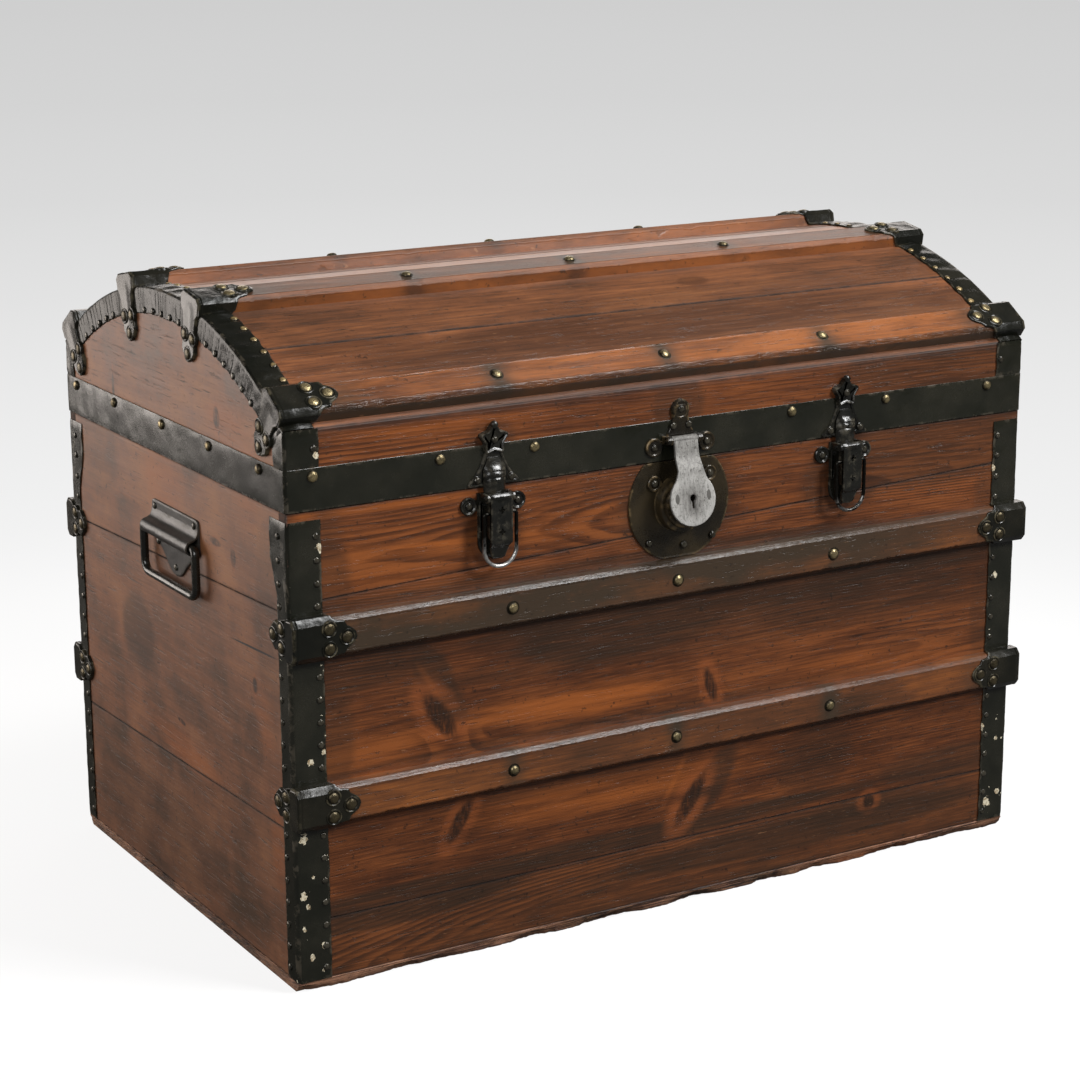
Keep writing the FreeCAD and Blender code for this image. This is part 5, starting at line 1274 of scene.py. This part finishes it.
def clamp(piece, rivets, place, sx, leg, seed, body):
    """Cast clamp: a lobed cap bent over the slat's end, and a leg with three round lobes."""
    start, nose = -HALF_LENGTH - 3.2, -HALF_LENGTH + 57.0
    skirt = 14.4 + 6.3 + 10.6
    edge = [(start, -skirt), (nose - 27, -skirt)]
    edge += [(nose - 24, -skirt + 3), (nose - 21.5, -19.0), (nose - 18, -16.5), (nose - 11, -15.0)]
    for angle in steps(-math.pi / 2, math.pi / 2, 12):
        lobe = 1.0 + 0.10 * math.cos(3 * angle)
        edge.append((nose - 9 + 9.0 * lobe * math.cos(angle), 10.5 * lobe * math.sin(angle)))
    edge += [(nose - 11, 15.0), (nose - 18, 16.5), (nose - 21.5, 19.0), (nose - 24, skirt - 3)]
    edge += [(nose - 27, skirt), (start, skirt)]

    def on_cap(u, w, h):
        across, out = over_slat(w)
        bent = unit((abs(w) - 14.4) / 6.3)
        return place(sx * -u, across + h * bent * (1 if w > 0 else -1), out + h * (1 - 0.6 * bent))

    levels = [(0.0, -1.5, 1.0), (0.0, -0.5, 1.0), (0.4, -0.05, 0.9), (1.1, 0.15, 0.5), (3.0, 0.0, 0.0)]

    def swell(u, w, h):
        return 0.35 * wander(u, w, seed, size=8) if h > -0.3 else 0.0

    relief(piece, edge, levels, on_cap, cell=3.4, swell=swell)
    web = [
        (19.6, 10.4), (14.2, 14.7), (-14.2, 14.7), (-19.6, 10.4), (-18.5, -1), (-14, -6), (-12, 0.42 * -leg),
        (-13.5, 12 - leg * 0.98 - 2), (-8, 4 - leg), (0, -leg + 1), (8, 4 - leg), (13.5, 12 - leg * 0.98 - 2),
        (12, 0.42 * -leg), (14, -6), (18.5, -1),
    ]

    def on_leg(u, w, h):
        return place(sx * (HALF_LENGTH + h), u, w)

    hollow = lambda u, w, h: (-0.7 * math.exp(-((u / 6) ** 2)) if h > 1 and -leg + 14 < w < 4 else 0.0)
    leg_levels = [(0.0, 0.0, 1.0), (0.0, 2.6, 1.0), (0.4, 3.3, 0.9), (1.3, 3.8, 0.6), (3.2, 3.7, 0.1)]
    relief(piece, web, leg_levels, on_leg, cell=4.0, swell=hollow)
    out_axis = place(0, 0, 1) - place(0, 0, 0)
    end_axis = Vector((sx, 0, 0))
    boss = [(7.7, -2.0), (7.7, 0.1), (7.3, 0.75), (6.7, 0.95), (6.1, 0.65), (5.7, 0.3), (3.0, 0.3)]
    spots = []
    for u, w in ((48, 0), (31, -9), (31, 9)):
        spots.append((place(sx * (HALF_LENGTH - u), w, 14.8), out_axis, boss))
    low_boss = [(radius, height - 0.8) for radius, height in boss]
    for w, out in ((-8.55, 24.5 - leg), (8.55, 24.5 - leg), (0, 8.0 - leg)):
        spots.append((place(sx * (HALF_LENGTH + 4.0), w, out), end_axis, low_boss))
    for centre, axis, profile in spots:
        lathe(piece, centre, axis, profile, 24, wear=[0.2, 0.6, 1.0, 1.0, 0.5, 0.0, 0.0])
        lift = profile[-1][1]
        bright = body == "lid" and axis is out_axis
        heads(rivets, [(centre + axis * lift, axis)], 5.3, 2.0, tone=0.0 if bright else -0.75)


def make_clamps():
    """Clamps of all slats, and the rivets of slats and clamps."""
    sets = {"box": (Piece(), Piece()), "lid": (Piece(), Piece())}
    for number, (name, body, place) in enumerate(slat_seats()):
        clamps, rivets = sets[body]
        leg = 34.0 if body == "box" else 50.0
        for sx in (-1, 1):
            clamp(clamps, rivets, place, sx, leg, number * 31.0 + sx * 9, body)
        out_axis = place(0, 0, 1) - place(0, 0, 0)
        for x in SLAT_RIVETS:
            centre = place(x, wander(x, number * 9, size=5), SLAT_THICK)
            heads(rivets, [(centre, out_axis)], 5.0, 3.0, collar=1.3)
    for body, (clamps, rivets) in sets.items():
        clamps.done(body + "_clamps_cast", body, "cast_clamp", CASTING, body + "_slat_clamps")
        rivets.done(body + "_slat_rivet_heads", body, "rivet_brass", RIVET_BRASS, body + "_slat_rivets")


# ---- Hardware -----------------------------------------------------------------------

PLATE_EDGE = [(0.0, 0.0, 0.8), (0.0, 0.66, 0.9), (0.3, 0.9, 1.0), (0.9, 1.0, 0.6), (2.6, 1.0, 0.0)]


def plate_levels(thick, rim=0.0):
    """Levels of a plate with soft edges. A rim stands up along its edge."""
    levels = [(inset, thick * share, wear) for inset, share, wear in PLATE_EDGE]
    if rim:
        levels += [(3.0, thick - rim * 0.8, 0.2), (3.8, thick - rim, 0.0)]
    return levels


def circle(u, w, radius, count=24, start=0.0, stretch=1.0):
    places = []
    for step in range(count):
        angle = start + 2 * math.pi * step / count
        places.append((u + radius * math.cos(angle), w + radius * stretch * math.sin(angle)))
    return places


def mirror_outline(right):
    """Closed outline from its right half, given from top to bottom."""
    return right + [(-u, w) for u, w in reversed(right) if abs(u) > 0.01]


def moved(outline, u, w):
    return [(a + u, b + w) for a, b in outline]


def key_outline(u, w, radius=3.2):
    arc = [(u + radius * math.sin(a), w + radius * math.cos(a)) for a in steps(-2.6, 2.6, 16)]
    return arc + [(u + 1.5, w - 2.8 * radius), (u - 1.5, w - 2.8 * radius)]


def ring_boss(piece, centre, axis, radius, height=2.2):
    """Round cast ear with a raised rim and a hollow round its rivet."""
    profile = [(1.0, 0.0), (1.0, 0.7), (0.93, 0.95), (0.84, 1.0), (0.74, 0.85), (0.66, 0.62), (0.2, 0.62)]
    shape = [(radius * across, height * up) for across, up in profile]
    lathe(piece, centre, axis, shape, 26, wear=[0.8, 0.9, 1.0, 0.9, 0.3, 0.0, 0.0])


def make_lock():
    """Lock plate, case with a raised ring, and its nails."""
    radius, low, high = 55.5, 348.5 - LOCK_Z, 441.5 - LOCK_Z
    outline = []
    for u, w in circle(0, 0, radius, 96):
        outline.append((u + LOCK_X, min(high, max(low, w)) + LOCK_Z))
    piece = Piece()

    def dish(u, w, h):
        away = math.hypot(u - LOCK_X, w - LOCK_Z)
        return 0.25 * wander(u, w, size=12) * (h > 1.2) - (0.35 if h > 1.9 and away < 50 else 0.0)

    relief(piece, outline, plate_levels(2.0), on_front(), cell=6.0, swell=dish)
    for u, w, size in ((-28 + LOCK_X, 422, 7.5), (33 + LOCK_X, 425, 7.5)):
        ring_boss(piece, (u, -253.9, w), FORWARD, size, 1.8)
    piece.done("lock_plate_worn", "box", "lock_bronze", BRONZE)
    case = Piece()
    levels = [(0.0, 1.6, 1.0), (0.0, 2.6, 0.6), (0.8, 3.0, 0.3), (1.0, 9.6, 0.1), (1.8, 11.3, 0.5),
              (3.2, 12.0, 0.8),
              (5.6, 12.0, 0.2), (6.0, 13.4, 0.4), (6.6, 14.3, 1.0), (7.6, 14.5, 0.9), (9.2, 14.4, 0.2)]
    slots = []
    for side in (-11.0, 11.0):
        x = LOCK_X + side
        slots.append([(x - 2.4, 411.4), (x + 2.4, 411.4), (x + 2.4, 418.6), (x - 2.4, 418.6)])
    relief(case, circle(LOCK_X, LOCK_Z, 28.0, 64), levels, on_front(),
           holes=[key_outline(LOCK_X, 406.5)] + slots)
    case.done("lock_case_turned", "box", "lock_bronze", BRONZE)
    nails = []
    for u, w in ((1, 360), (-38, 366), (33, 365), (-28 + LOCK_X, 422), (33 + LOCK_X, 425)):
        nails.append(((u, -254.6, w), FORWARD))
    return nails


def make_hasp_plate():
    """Hasp plate on the lid with its pin's knuckles, and the places of its nails."""
    piece = Piece()
    right = [(5.5, 494), (8.2, 486), (8.4, 482), (9.6, 476), (12.5, 470), (16.5, 464), (20.5, 459.5),
             (22, 457.8)]
    outline = [(u + LOCK_X, w) for u, w in mirror_outline(right)]

    def on_lid(u, w, h):
        sunk = BAND_THICK if w >= 481 and h < 1 else 0.0  # above the band the back lies on the rail
        return Vector((u, -LID_FACE + sunk - h, w))

    relief(piece, outline, plate_levels(2.0), on_lid, cell=5.0, swell=dented(0.3, 9))
    lathe(piece, (LOCK_X, -252.0, 489.5), FORWARD,
          [(9.6, 0.0), (9.6, 2.4), (9.0, 3.4), (7.6, 3.7), (6.4, 3.1), (2.0, 3.0)], 30,
          wear=[0.8, 0.9, 1.0, 0.8, 0.1, 0.0])
    for side in (-1, 1):
        ring_boss(piece, (LOCK_X + side * 29, -LID_FACE, 456.0), FORWARD, 9.0, 2.4)
        near, far = LOCK_X + side * 20, LOCK_X + side * 25
        bridge = [(near, 452.5), (far, 451.5), (far, 460.5), (near, 461.5)]
        relief(piece, bridge, plate_levels(1.8), on_front(-LID_FACE))
        near = LOCK_X + side * 13.4
        axis = (side, 0, 0)
        lathe(piece, (near, *HASP_PIN), axis,
              [(3.5, 0.0), (4.0, 0.6), (4.0, 5.2), (3.4, 6.0), (1.6, 6.0), (1.4, 6.9), (0.4, 7.2)],
              22, wear=[1.0, 0.9, 0.2, 1.0, 0.6, 0.8, 0.3])
        foot = [(-252.9, 459.0), (-252.9, 465.6), (-260.5, 465.9), (-260.5, 458.1)]
        relief(piece, foot, [(0.0, 0.0, 0.9), (0.0, 5.4, 0.9), (0.5, 6.0, 1.0), (1.0, 6.0, 0.3)],
               beside(near, side))
    piece.done("hasp_plate_cast", "lid", "lock_bronze", BRONZE, "hasp_plate", "hasp_pin")
    nails = [(-29, -254.9, 456.0), (29, -254.9, 456.0), (0, -254.9, 489.5), (-8.5, -255.4, 474.5),
             (8.5, -255.4, 474.5)]
    return [((LOCK_X + u, y, z), FORWARD) for u, y, z in nails]


def make_hasp():
    """The steel hasp, hanging a little off the lock."""
    hasp = Piece()
    pin_y, pin_z = HASP_PIN
    cos, sin = math.cos(HASP_TILT), math.sin(HASP_TILT)

    def swing(x, y, z):
        out, up = y - pin_y, z - pin_z
        return Vector((x, out * cos + up * sin + pin_y, up * cos - out * sin + pin_z))

    facing = swing(0, pin_y - 1, pin_z) - swing(0, *HASP_PIN)

    def on_hasp(u, w, h):
        crank = unit((449.0 - w) / 17.5)
        crank = crank * crank * (3 - 2 * crank)
        roll = max(0.0, w - 461.0) / 4.6
        return swing(u, -262.0 - 4.9 * crank - h + 3.0 * roll * roll, w)

    right = [(13, 465.4), (13.2, 452), (13.6, 442), (14.2, 434), (15.6, 429.2)]
    right += [(25 * math.sin(a), 406.5 + 25 * math.cos(a)) for a in steps(0.78, math.pi, 26)]
    outline = [(u + LOCK_X, w) for u, w in mirror_outline(right)]
    levels = [(0.5, 0.0, 0.5), (0.0, 0.5, 0.6), (0.0, 1.8, 0.45), (0.35, 2.35, 0.1), (1.0, 2.5, 0.0),
              (2.6, 2.5, 0.0)]
    relief(hasp, outline, levels, on_hasp, cell=4.0, swell=dented(0.12, 10, 2),
           holes=[key_outline(LOCK_X, 408.0, 3.5)])
    tube(hasp, [swing(LOCK_X + x, *HASP_PIN) for x in (-12.9, -8, 0, 8, 12.9)], 4.0, 22, wear=lambda p: 0.25)
    for side in (-1, 1):
        lathe(hasp, swing(LOCK_X + side * 17.3, -269.3, 409), facing,
              [(2.9, -0.3), (2.9, 0.1), (2.4, 0.2), (0.5, 0.15)], 18, (0.8, 1.7), 3.0)
        staple = [(-266.4, 412.0), (-266.4, 418.0), (-260.6, 417.4), (-260.6, 412.4)]
        relief(hasp, staple, [(0.3, 0.0, 0.4), (0.0, 0.3, 0.4), (0.0, 2.7, 0.4), (0.3, 3.0, 0.4)],
               lambda u, w, h, s=side: swing(LOCK_X + s * 11 - 1.5 + h, u, w))
    heads(hasp, [(swing(LOCK_X, -268.2, 433.8), facing)], 1.9, 1.0, collar=1.35)
    hasp.done("hasp_brushed", "hasp", "hasp_steel", HASP_STEEL)


def clover_outline(u, w, leaf=1.5):
    places = []
    for step in range(32):
        angle = 2 * math.pi * step / 32
        reach = leaf * (1.0 + 1.25 * abs(math.cos(2 * angle)) ** 1.4)
        places.append((u + reach * math.cos(angle), w + reach * math.sin(angle)))
    return places


def make_latch_base(side, x):
    piece = Piece()
    right = [(4, 437), (16, 437), (16, 431), (15.4, 405), (15.6, 398)]
    right += [(15.8 * math.sin(a), 392 - 15.8 * math.cos(a)) for a in steps(1.5, 0.2, 8)]
    outline = mirror_outline(right + [(1.6, 375.2), (0, 374.4)])
    place = on_front()
    relief(piece, moved(outline, x, 0), plate_levels(2.0), place, cell=5.0, swell=dented(0.2, 8))
    nails = []
    for s in (-1, 1):
        ring_boss(piece, (x + s * 25, -252.0, 426.0), FORWARD, 8.2, 3.0)
        arm = [(x + s * 13, 420.5), (x + s * 20, 422.0), (x + s * 20, 430.0), (x + s * 13, 432.0)]
        relief(piece, arm, plate_levels(2.2), place)
        cheek = [(-252.3, 428.6), (-252.3, 437.0), (-262.0, 437.8)]
        cheek += [(LEVER_PIN[0] - 4.0 * math.cos(a), LEVER_PIN[1] + 4.0 * math.sin(a)) for a in steps(0.9,
                                                                                                      -1.57,
                                                                                                      10)]
        relief(piece, cheek,
               [(0.4, 0.0, 1.0), (0.0, 0.4, 0.9), (0.0, 2.2, 0.9), (0.4, 2.6, 1.0), (1.2, 2.6, 0.1)],
               beside(x + s * 11.6, s))
        foot = [(x + s * 11.7, 401.0), (x + s * 15.4, 401.0), (x + s * 15.4, 430.0), (x + s * 11.7, 430.0)]
        relief(piece, foot, plate_levels(4.0), place)
        nails.append(((x + s * 25, -253.6, 426.0), FORWARD))
    piece.done("latch_base_" + side + "_cast", "box", "hardware_iron", HARDWARE)
    return nails


def make_latch_lever(side, x):
    """Lever: a pierced face with a rolled top, side flanges and a tapering tail."""
    piece = Piece()
    right = [(11.0, 437.0), (11.2, 432), (11.2, 398), (11.0, 393), (9.6, 388.5), (7.6, 382), (6.2, 378.2),
             (3.0, 377.2), (0, 377.4)]

    def bent(u, w, h):
        back = 0.0
        if w < 393.0:
            back = (393.0 - w) * 0.95 if w > 388 else 4.75 + (388.0 - w) * 0.2
        if w > 433.0:
            back = (w - 433.0) ** 2 * 0.18
        return Vector((u, -267.8 + back - h, w))

    holes = [clover_outline(x, 423.0), clover_outline(x, 403.0)]
    relief(piece, moved(mirror_outline(right), x, 0), plate_levels(2.2), bent, cell=3.6,
           swell=dented(0.12, 7), holes=holes)
    for s in (-1, 1):
        flange = [(-269.6, 396.5), (-269.6, 434.0), (-262.0, 434.0), (-261.6, 428.0), (-261.6, 401.0),
                  (-264.0, 397.0)]
        relief(piece, flange,
               [(0.3, 0.0, 0.8), (0.0, 0.3, 0.9), (0.0, 1.9, 0.9), (0.3, 2.2, 1.0), (1.0, 2.2, 0.1)],
               beside(x + s * 11.2, -s))
        lathe(piece, (x + s * 11.2, *LEVER_PIN), (s, 0, 0), [(1.5, 0.0), (1.5, 2.7), (1.2, 3.0), (0.3, 3.1)],
              14, wear=0.8)
    tube(piece, [(x + u, *LEVER_PIN) for u in (-11.1, -6, 0, 6, 11.1)], 4.0, 22, wear=lambda p: 0.4)
    piece.done("latch_lever_" + side + "_pierced", "latch_lever_" + side, "hardware_iron", HARDWARE)


def make_latch_link(side, x):
    """Wire link, rubbed bright where it is held."""
    top, foot, half = 420.0, 371.0, 16.5
    corners = [(-8.8, top), (-half, top), (-half, foot), (half, foot), (half, top), (8.8, top)]
    path = rounded([(x + u, -266.0, z) for u, z in corners], (2.4, half - 0.01, half - 0.01, 2.4), 10)
    worn = 0.55 if side == "right" else 0.0
    piece = Piece()
    tube(piece, divided(path, 4), 1.8, 12, wear=lambda p: worn + unit((p.z - 380.0) / 22.0))
    piece.done("latch_link_" + side + "_wire", "latch_link_" + side, "wire_steel", WIRE)


def make_keeper(side, x):
    """Keeper: a bell-shaped plate with a star on top and a ribbed nose over the joint."""
    piece = Piece()
    right = [(6.4, 482.0), (7.4, 476.5), (9.6, 470.0), (12.0, 464.5), (15.0, 458.5), (19.5, 452.5),
             (24.5, 447.8), (26.2, 445.2),
             (25.0, 443.1), (19.0, 443.1), (15.5, 444.2), (12.0, 443.1), (0, 443.1)]

    def crown(u, w, h):
        return (0.9 * math.exp(-((u - x) / 9.0) ** 2) + 0.2 * wander(u, w, size=6)) * (h > 1.8)

    relief(piece, moved(mirror_outline(right), x, 0), plate_levels(2.2, 0.5), on_front(-LID_FACE), cell=3.4,
           swell=crown)
    star = []
    for corner in range(10):
        for shift in (-0.16, -0.06, 0.06, 0.16) if corner % 2 == 0 else (0.0,):
            reach = (14.5 if abs(shift) < 0.1 else 13.6) if corner % 2 == 0 else 10.2
            turn = math.radians(90 + 36 * corner) + shift
            star.append((x + reach * math.cos(turn), 484.5 + reach * math.sin(turn)))
    levels = [(0.0, 0.0, 0.6), (0.0, 5.0, 0.8), (0.5, 6.0, 1.0), (1.5, 6.2, 1.0), (2.3, 5.4, 0.3),
              (3.2, 5.0, 0.0), (4.4, 5.2, 0.0)]
    relief(piece, star, levels, on_front())
    lathe(piece, (x, -255.0, 498.0), FORWARD, [(3.4, 0.0), (3.6, 1.6), (3.0, 3.6), (1.6, 4.6), (0.4, 4.8)],
          18, wear=[0.5, 0.6, 0.9, 1.0, 0.9])
    # nose: its depth out of the plate along its height
    spine = [(468.0, 0.0), (465.5, 0.7), (462.5, 1.3), (459.5, 2.4), (457.0, 4.2), (455.6, 4.0), (454.2, 5.2),
             (452.0, 5.5),
             (450.6, 4.7), (449.2, 5.5), (445.0, 5.5), (440.0, 5.5), (436.0, 5.5), (433.0, 5.2), (431.2, 4.2),
             (430.5, 2.8)]

    def nose(index, across):
        z, out = spine[index]
        half = 10.0 - 0.25 * max(0, index - 12) ** 1.5 - max(0.0, 3 - index) * 1.1
        arch = max(0.0, 1 - abs(across) ** 3.2)
        return Vector((x + half * across, -255.6 - out * arch, z))

    patch(piece, nose, list(range(len(spine))),
          [-1.0, -0.97, -0.88, -0.72, -0.5, -0.25, 0.0, 0.25, 0.5, 0.72, 0.88, 0.97, 1.0], -1.6,
          lambda index, across: 1.0 if index in (4, 6, 7, 9) or index > 12 else 0.3)
    for s in (-1, 1):
        lathe(piece, (x + s * 17.5, -255.5, 449.2), FORWARD, [(3.9, 0.0), (3.9, 0.5), (3.2, 0.9), (0.5, 1.0)],
              18, wear=0.8)
    piece.done("latch_keeper_" + side + "_cast", "lid", "hardware_iron", HARDWARE)
    nails = [((x, -257.0, 484.5), FORWARD)]
    return nails + [((x + s * 17.5, -256.2, 449.2), FORWARD) for s in (-1, 1)]


def make_handle(side, sx):
    """End handle: a plate rolled into a barrel, and a bail of thick wire."""
    y, axis_z, axis_out, half = -13.0, 371.0, 8.5, 53.5
    place = on_end(sx)
    piece = Piece()
    outline = [(-half, 396 - 4), (-half + 1.2, 396 - 1.2), (-half + 4, 396), (half - 4, 396),
               (half - 1.2, 396 - 1.2), (half, 396 - 4),
               (half, 363), (45.5, 357), (34, 352), (24, 345), (16, 337.5), (9, 333), (0, 331.4), (-9, 333),
               (-16, 337.5),
               (-24, 345), (-34, 352), (-45.5, 357), (-half, 363)]
    relief(piece, moved(outline, y, 0), plate_levels(2.2), place, cell=8.0, swell=dented(0.25, 14))
    # section of the roll: out of the end, and up
    roll = [(2.4, 388.0), (3.0, 383.5), (4.6, 380.4), (7.0, 378.7)]
    for angle in steps(80, -205, 22):
        turn = math.radians(angle)
        roll.append((axis_out + 6.98 * math.cos(turn), axis_z + 6.98 * math.sin(turn)))

    def rolled(along, index):
        out, z = roll[index]
        dent = 0.45 * min(0.0, wander(along, index * 4, size=12) - 0.1)
        share = max(0.0, abs(along) - half + 3) / 3
        return Vector((sx * (HALF_LENGTH + out + dent * (index > 3)), y + along - share * 0.2, z))

    patch(piece, rolled, steps(-half, half, 40), list(range(len(roll))), -1.7 * sx, lambda a,
          index: 1.0 if abs(a) > half - 2 or index < 1 else 0.15)
    piece.done("handle_plate_" + side + "_rolled", "box", "hardware_iron", HARDWARE_MATT)
    bend = half + 0.8 + 6.0
    corners = [(-27.5, 371), (-bend, 371), (-bend, 325), (bend, 325), (bend, 371), (27.5, 371)]
    path = rounded([(sx * (HALF_LENGTH + axis_out), y + u, z) for u, z in corners], (6, 11, 11, 6), 9)
    bail = Piece()
    tube(bail, divided(path, 7), 4.0, 18, wear=lambda p: 0.25 if p.z < 332 else 0.1)
    bail.done("handle_bail_" + side + "_wire", "handle_bail_" + side, "hardware_iron", HARDWARE)
    nails = []
    for s in (-1, 1):
        nails.append((place(y + s * (half - 8), 390, 1.9), (sx, 0, 0)))
        nails.append((place(y + s * (half - 14), 357, 1.9), (sx, 0, 0)))
    nails.append((place(y, 340, 1.9), (sx, 0, 0)))
    return nails


def make_hinges():
    """Back hinges with soft edges, and their nails."""
    box, lid, pins = Piece(), Piece(), Piece()
    box_nails, lid_nails = [], []
    for x in (-HINGE_X, HINGE_X):
        leaf = [(-21, 366), (-19, 364), (19, 364), (21, 366), (21, 441.4), (-21, 441.4)]
        relief(box, moved(leaf, -x, 0), plate_levels(2.0), on_back(), cell=8.0)
        relief(box, [(-x - 9, 432.4), (-x + 9, 432.4), (-x + 9, 441.7), (-x - 9, 441.7)],
               [(0.0, 0.0, 0.3), (0.0, 7.0, 0.5), (0.8, 8.4, 0.8)], on_back())
        knuckle = [(3.8, 0.0), (4.5, 0.7), (4.5, 17.3), (3.8, 18.0)]
        lathe(box, (x - 9, *HINGE_PIN), (1, 0, 0), knuckle, 24, wear=[1.0, 0.8, 0.8, 1.0])
        leaf = [(-21, 443.1), (21, 443.1), (21, 473.5), (19, 475.5), (-19, 475.5), (-21, 473.5)]
        relief(lid, moved(leaf, -x, 0), plate_levels(2.0), on_back(LID_FACE), cell=8.0)
        for s in (-1, 1):
            near = x + s * 9.4
            lathe(lid, (near, *HINGE_PIN), (s, 0, 0), [(3.8, 0.0), (4.5, 0.7), (4.5, 10.9), (3.8, 11.6)], 24,
                  wear=[1.0, 0.8, 0.8, 1.0])
            web = [(253.7, 443.1), (253.7, 446.7), (260.5, 446.7), (260.5, 443.1)]
            place = beside(near, s)
            flat = [(0.4, 0.0, 0.9), (0.0, 0.4, 0.9), (0.0, 11.2, 0.9), (0.4, 11.6, 0.9)]
            relief(lid, web, flat, place)
            relief(lid, [(261.0, 439.8), (274.4, 439.8), (274.4, 444.7), (261.0, 444.7)], flat, place)
            for w in (374.0, 408.0):
                box_nails.append(((x + s * 14, 254.0, w), BACKWARD))
            lid_nails.append(((x + s * 14, 255.5, 466.5), BACKWARD))
            lathe(pins, (x + s * 20, *HINGE_PIN), (s, 0, 0), [(2.2, 0.0), (2.2, 1.6), (1.6, 2.0), (0.3, 2.1)],
                  16, wear=0.8)
        lathe(pins, (x - 20, *HINGE_PIN), (1, 0, 0), [(2.2, 0.0), (2.2, 40.0)], 16)
    box.done("hinge_box_leaves_worn", "box", "hardware_iron", HARDWARE)
    lid.done("hinge_lid_leaves_worn", "lid", "hardware_iron", HARDWARE)
    pins.done("hinge_pins_worn", "box", "plain_steel", HARDWARE)
    return box_nails, lid_nails


def make_hardware():
    box_nails, lid_nails = make_hinges()
    box_nails += make_lock()
    lid_nails += make_hasp_plate()
    make_hasp()
    for side, x in LATCHES.items():
        box_nails += make_latch_base(side, x)
        make_latch_lever(side, x)
        make_latch_link(side, x)
        lid_nails += make_keeper(side, x)
    for side, sx in SIDES:
        box_nails += make_handle(side, sx)
    for body, nails in (("box", box_nails), ("lid", lid_nails)):
        piece = Piece()
        heads(piece, nails, 3.6, 2.2)
        piece.done(body + "_hardware_nail_heads", body, "nail_brass", NAIL_DARK, body + "_hardware_nails")


# ---- Stage --------------------------------------------------------------------------

def make_stage():
    """Pale floor that fades to grey far behind, soft lights, and the camera."""
    mesh = bpy.data.meshes.new("floor")
    mesh.from_pydata([(-40, -40, 0), (40, -40, 0), (40, 40, 0), (-40, 40, 0)], [], [(0, 1, 2, 3)])
    g = Graph("floor")
    where = g.object_place()
    distance = g.node("VectorMath", {0: where}, operation="LENGTH").outputs["Value"]
    ramp = g.node("ValToRGB", {0: g.between(distance, 0.5, 14.5, kind="LINEAR")})
    stops = ramp.color_ramp.elements
    stops[0].position, stops[0].color = 0.0, (0.82, 0.82, 0.82, 1)
    stops[1].position, stops[1].color = 1.0, (0.625, 0.625, 0.625, 1)
    for position, value in ((0.018, 0.84), (0.043, 0.86), (0.079, 0.875), (0.136, 0.827), (0.214, 0.765),
                            (0.336, 0.70), (0.557, 0.655)):
        stop = stops.new(position)
        stop.color = (value, value, value, 1)
    shine = g.node("Emission", {0: ramp.outputs[0], 1: 1.0})
    near = g.between(distance, 1.7, 0.5, 0.0, 0.20)
    soft = g.node("BsdfDiffuse", {0: g.node("CombineColor", {0: near, 1: near, 2: near}).outputs[0]})
    seen = g.node("AddShader", {0: shine.outputs[0], 1: soft.outputs[0]})
    plain = g.node("BsdfDiffuse", {0: (0.10, 0.10, 0.10, 1)})
    camera_ray = g.node("LightPath").outputs["Is Camera Ray"]
    both = g.node("MixShader", {0: camera_ray, 1: plain.outputs[0], 2: seen.outputs[0]})
    g.tree.links.new(both.outputs[0], g.tree.nodes["Material Output"].inputs["Surface"])
    mesh.materials.append(g.material)
    floor = bpy.data.objects.new("floor", mesh)
    bpy.context.collection.objects.link(floor)
    world = bpy.data.worlds.new("studio")
    bpy.context.scene.world = world
    world.use_nodes = True
    world.node_tree.nodes["Background"].inputs[0].default_value = (1, 1, 1, 1)
    world.node_tree.nodes["Background"].inputs[1].default_value = 0.08
    lamps = (
        ("key", (1.7, -2.6, 2.3), (0.1, 0, 0.3), 1.0, 1.0, 100, (1, 1, 1)),
        ("top", (0.9, -1.0, 2.4), (-0.2, -0.2, 0.4), 0.8, 0.8, 42, (1, 1, 1)),
        ("left_wall", (-1.7, 1.5, 0.65), (-0.4, 0, 0.35), 1.6, 1.2, 30, (1, 0.91, 0.84)),
        ("back_wall", (2.0, 3.4, 1.55), (0, 0, 0.5), 4.0, 1.5, 45, (1, 0.93, 0.88)),
        ("fill", (-2.4, -2.2, 1.8), (0, 0, 0.3), 1.6, 1.6, 55, (1, 1, 1)),
    )
    for name, place, target, width, height, power, colour in lamps:
        light = bpy.data.lights.new(name, "AREA")
        light.shape, light.size, light.size_y = "RECTANGLE", width, height
        light.energy, light.color = power, colour
        lamp = bpy.data.objects.new(name, light)
        lamp.location = place
        lamp.visible_camera = False
        lamp.rotation_euler = (Vector(target) - Vector(place)).to_track_quat("-Z", "Y").to_euler()
        bpy.context.collection.objects.link(lamp)
    azimuth, down, roll = math.radians(30.80), math.radians(14.79), math.radians(-0.24)
    right = Vector((math.cos(azimuth), -math.sin(azimuth), 0))
    ahead = Vector((math.sin(azimuth) * math.cos(down), math.cos(azimuth) * math.cos(down), -math.sin(down)))
    below = ahead.cross(right)
    image_right = right * math.cos(roll) - below * math.sin(roll)
    image_down = right * math.sin(roll) + below * math.cos(roll)
    data = bpy.data.cameras.new("camera")
    data.lens, data.sensor_width = 87.47, 36.0
    camera = bpy.data.objects.new("camera", data)
    turn = Matrix((image_right, -image_down, -ahead)).transposed().to_4x4()
    camera.matrix_world = Matrix.Translation((-1.3264, -2.2192, 0.9896)) @ turn
    bpy.context.collection.objects.link(camera)
    bpy.context.scene.camera = camera
    bpy.context.scene.view_settings.view_transform = "Standard"


make_stage()
make_walls()
make_bottom()
make_lid_rails()
make_lid_ends()
make_dome()
make_slats()
make_corner_irons()
make_band()
make_bindings()
make_clamps()
make_hardware()

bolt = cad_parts["lock_bolt"]
bolt.data.materials.clear()
bolt.data.materials.append(HARDWARE)
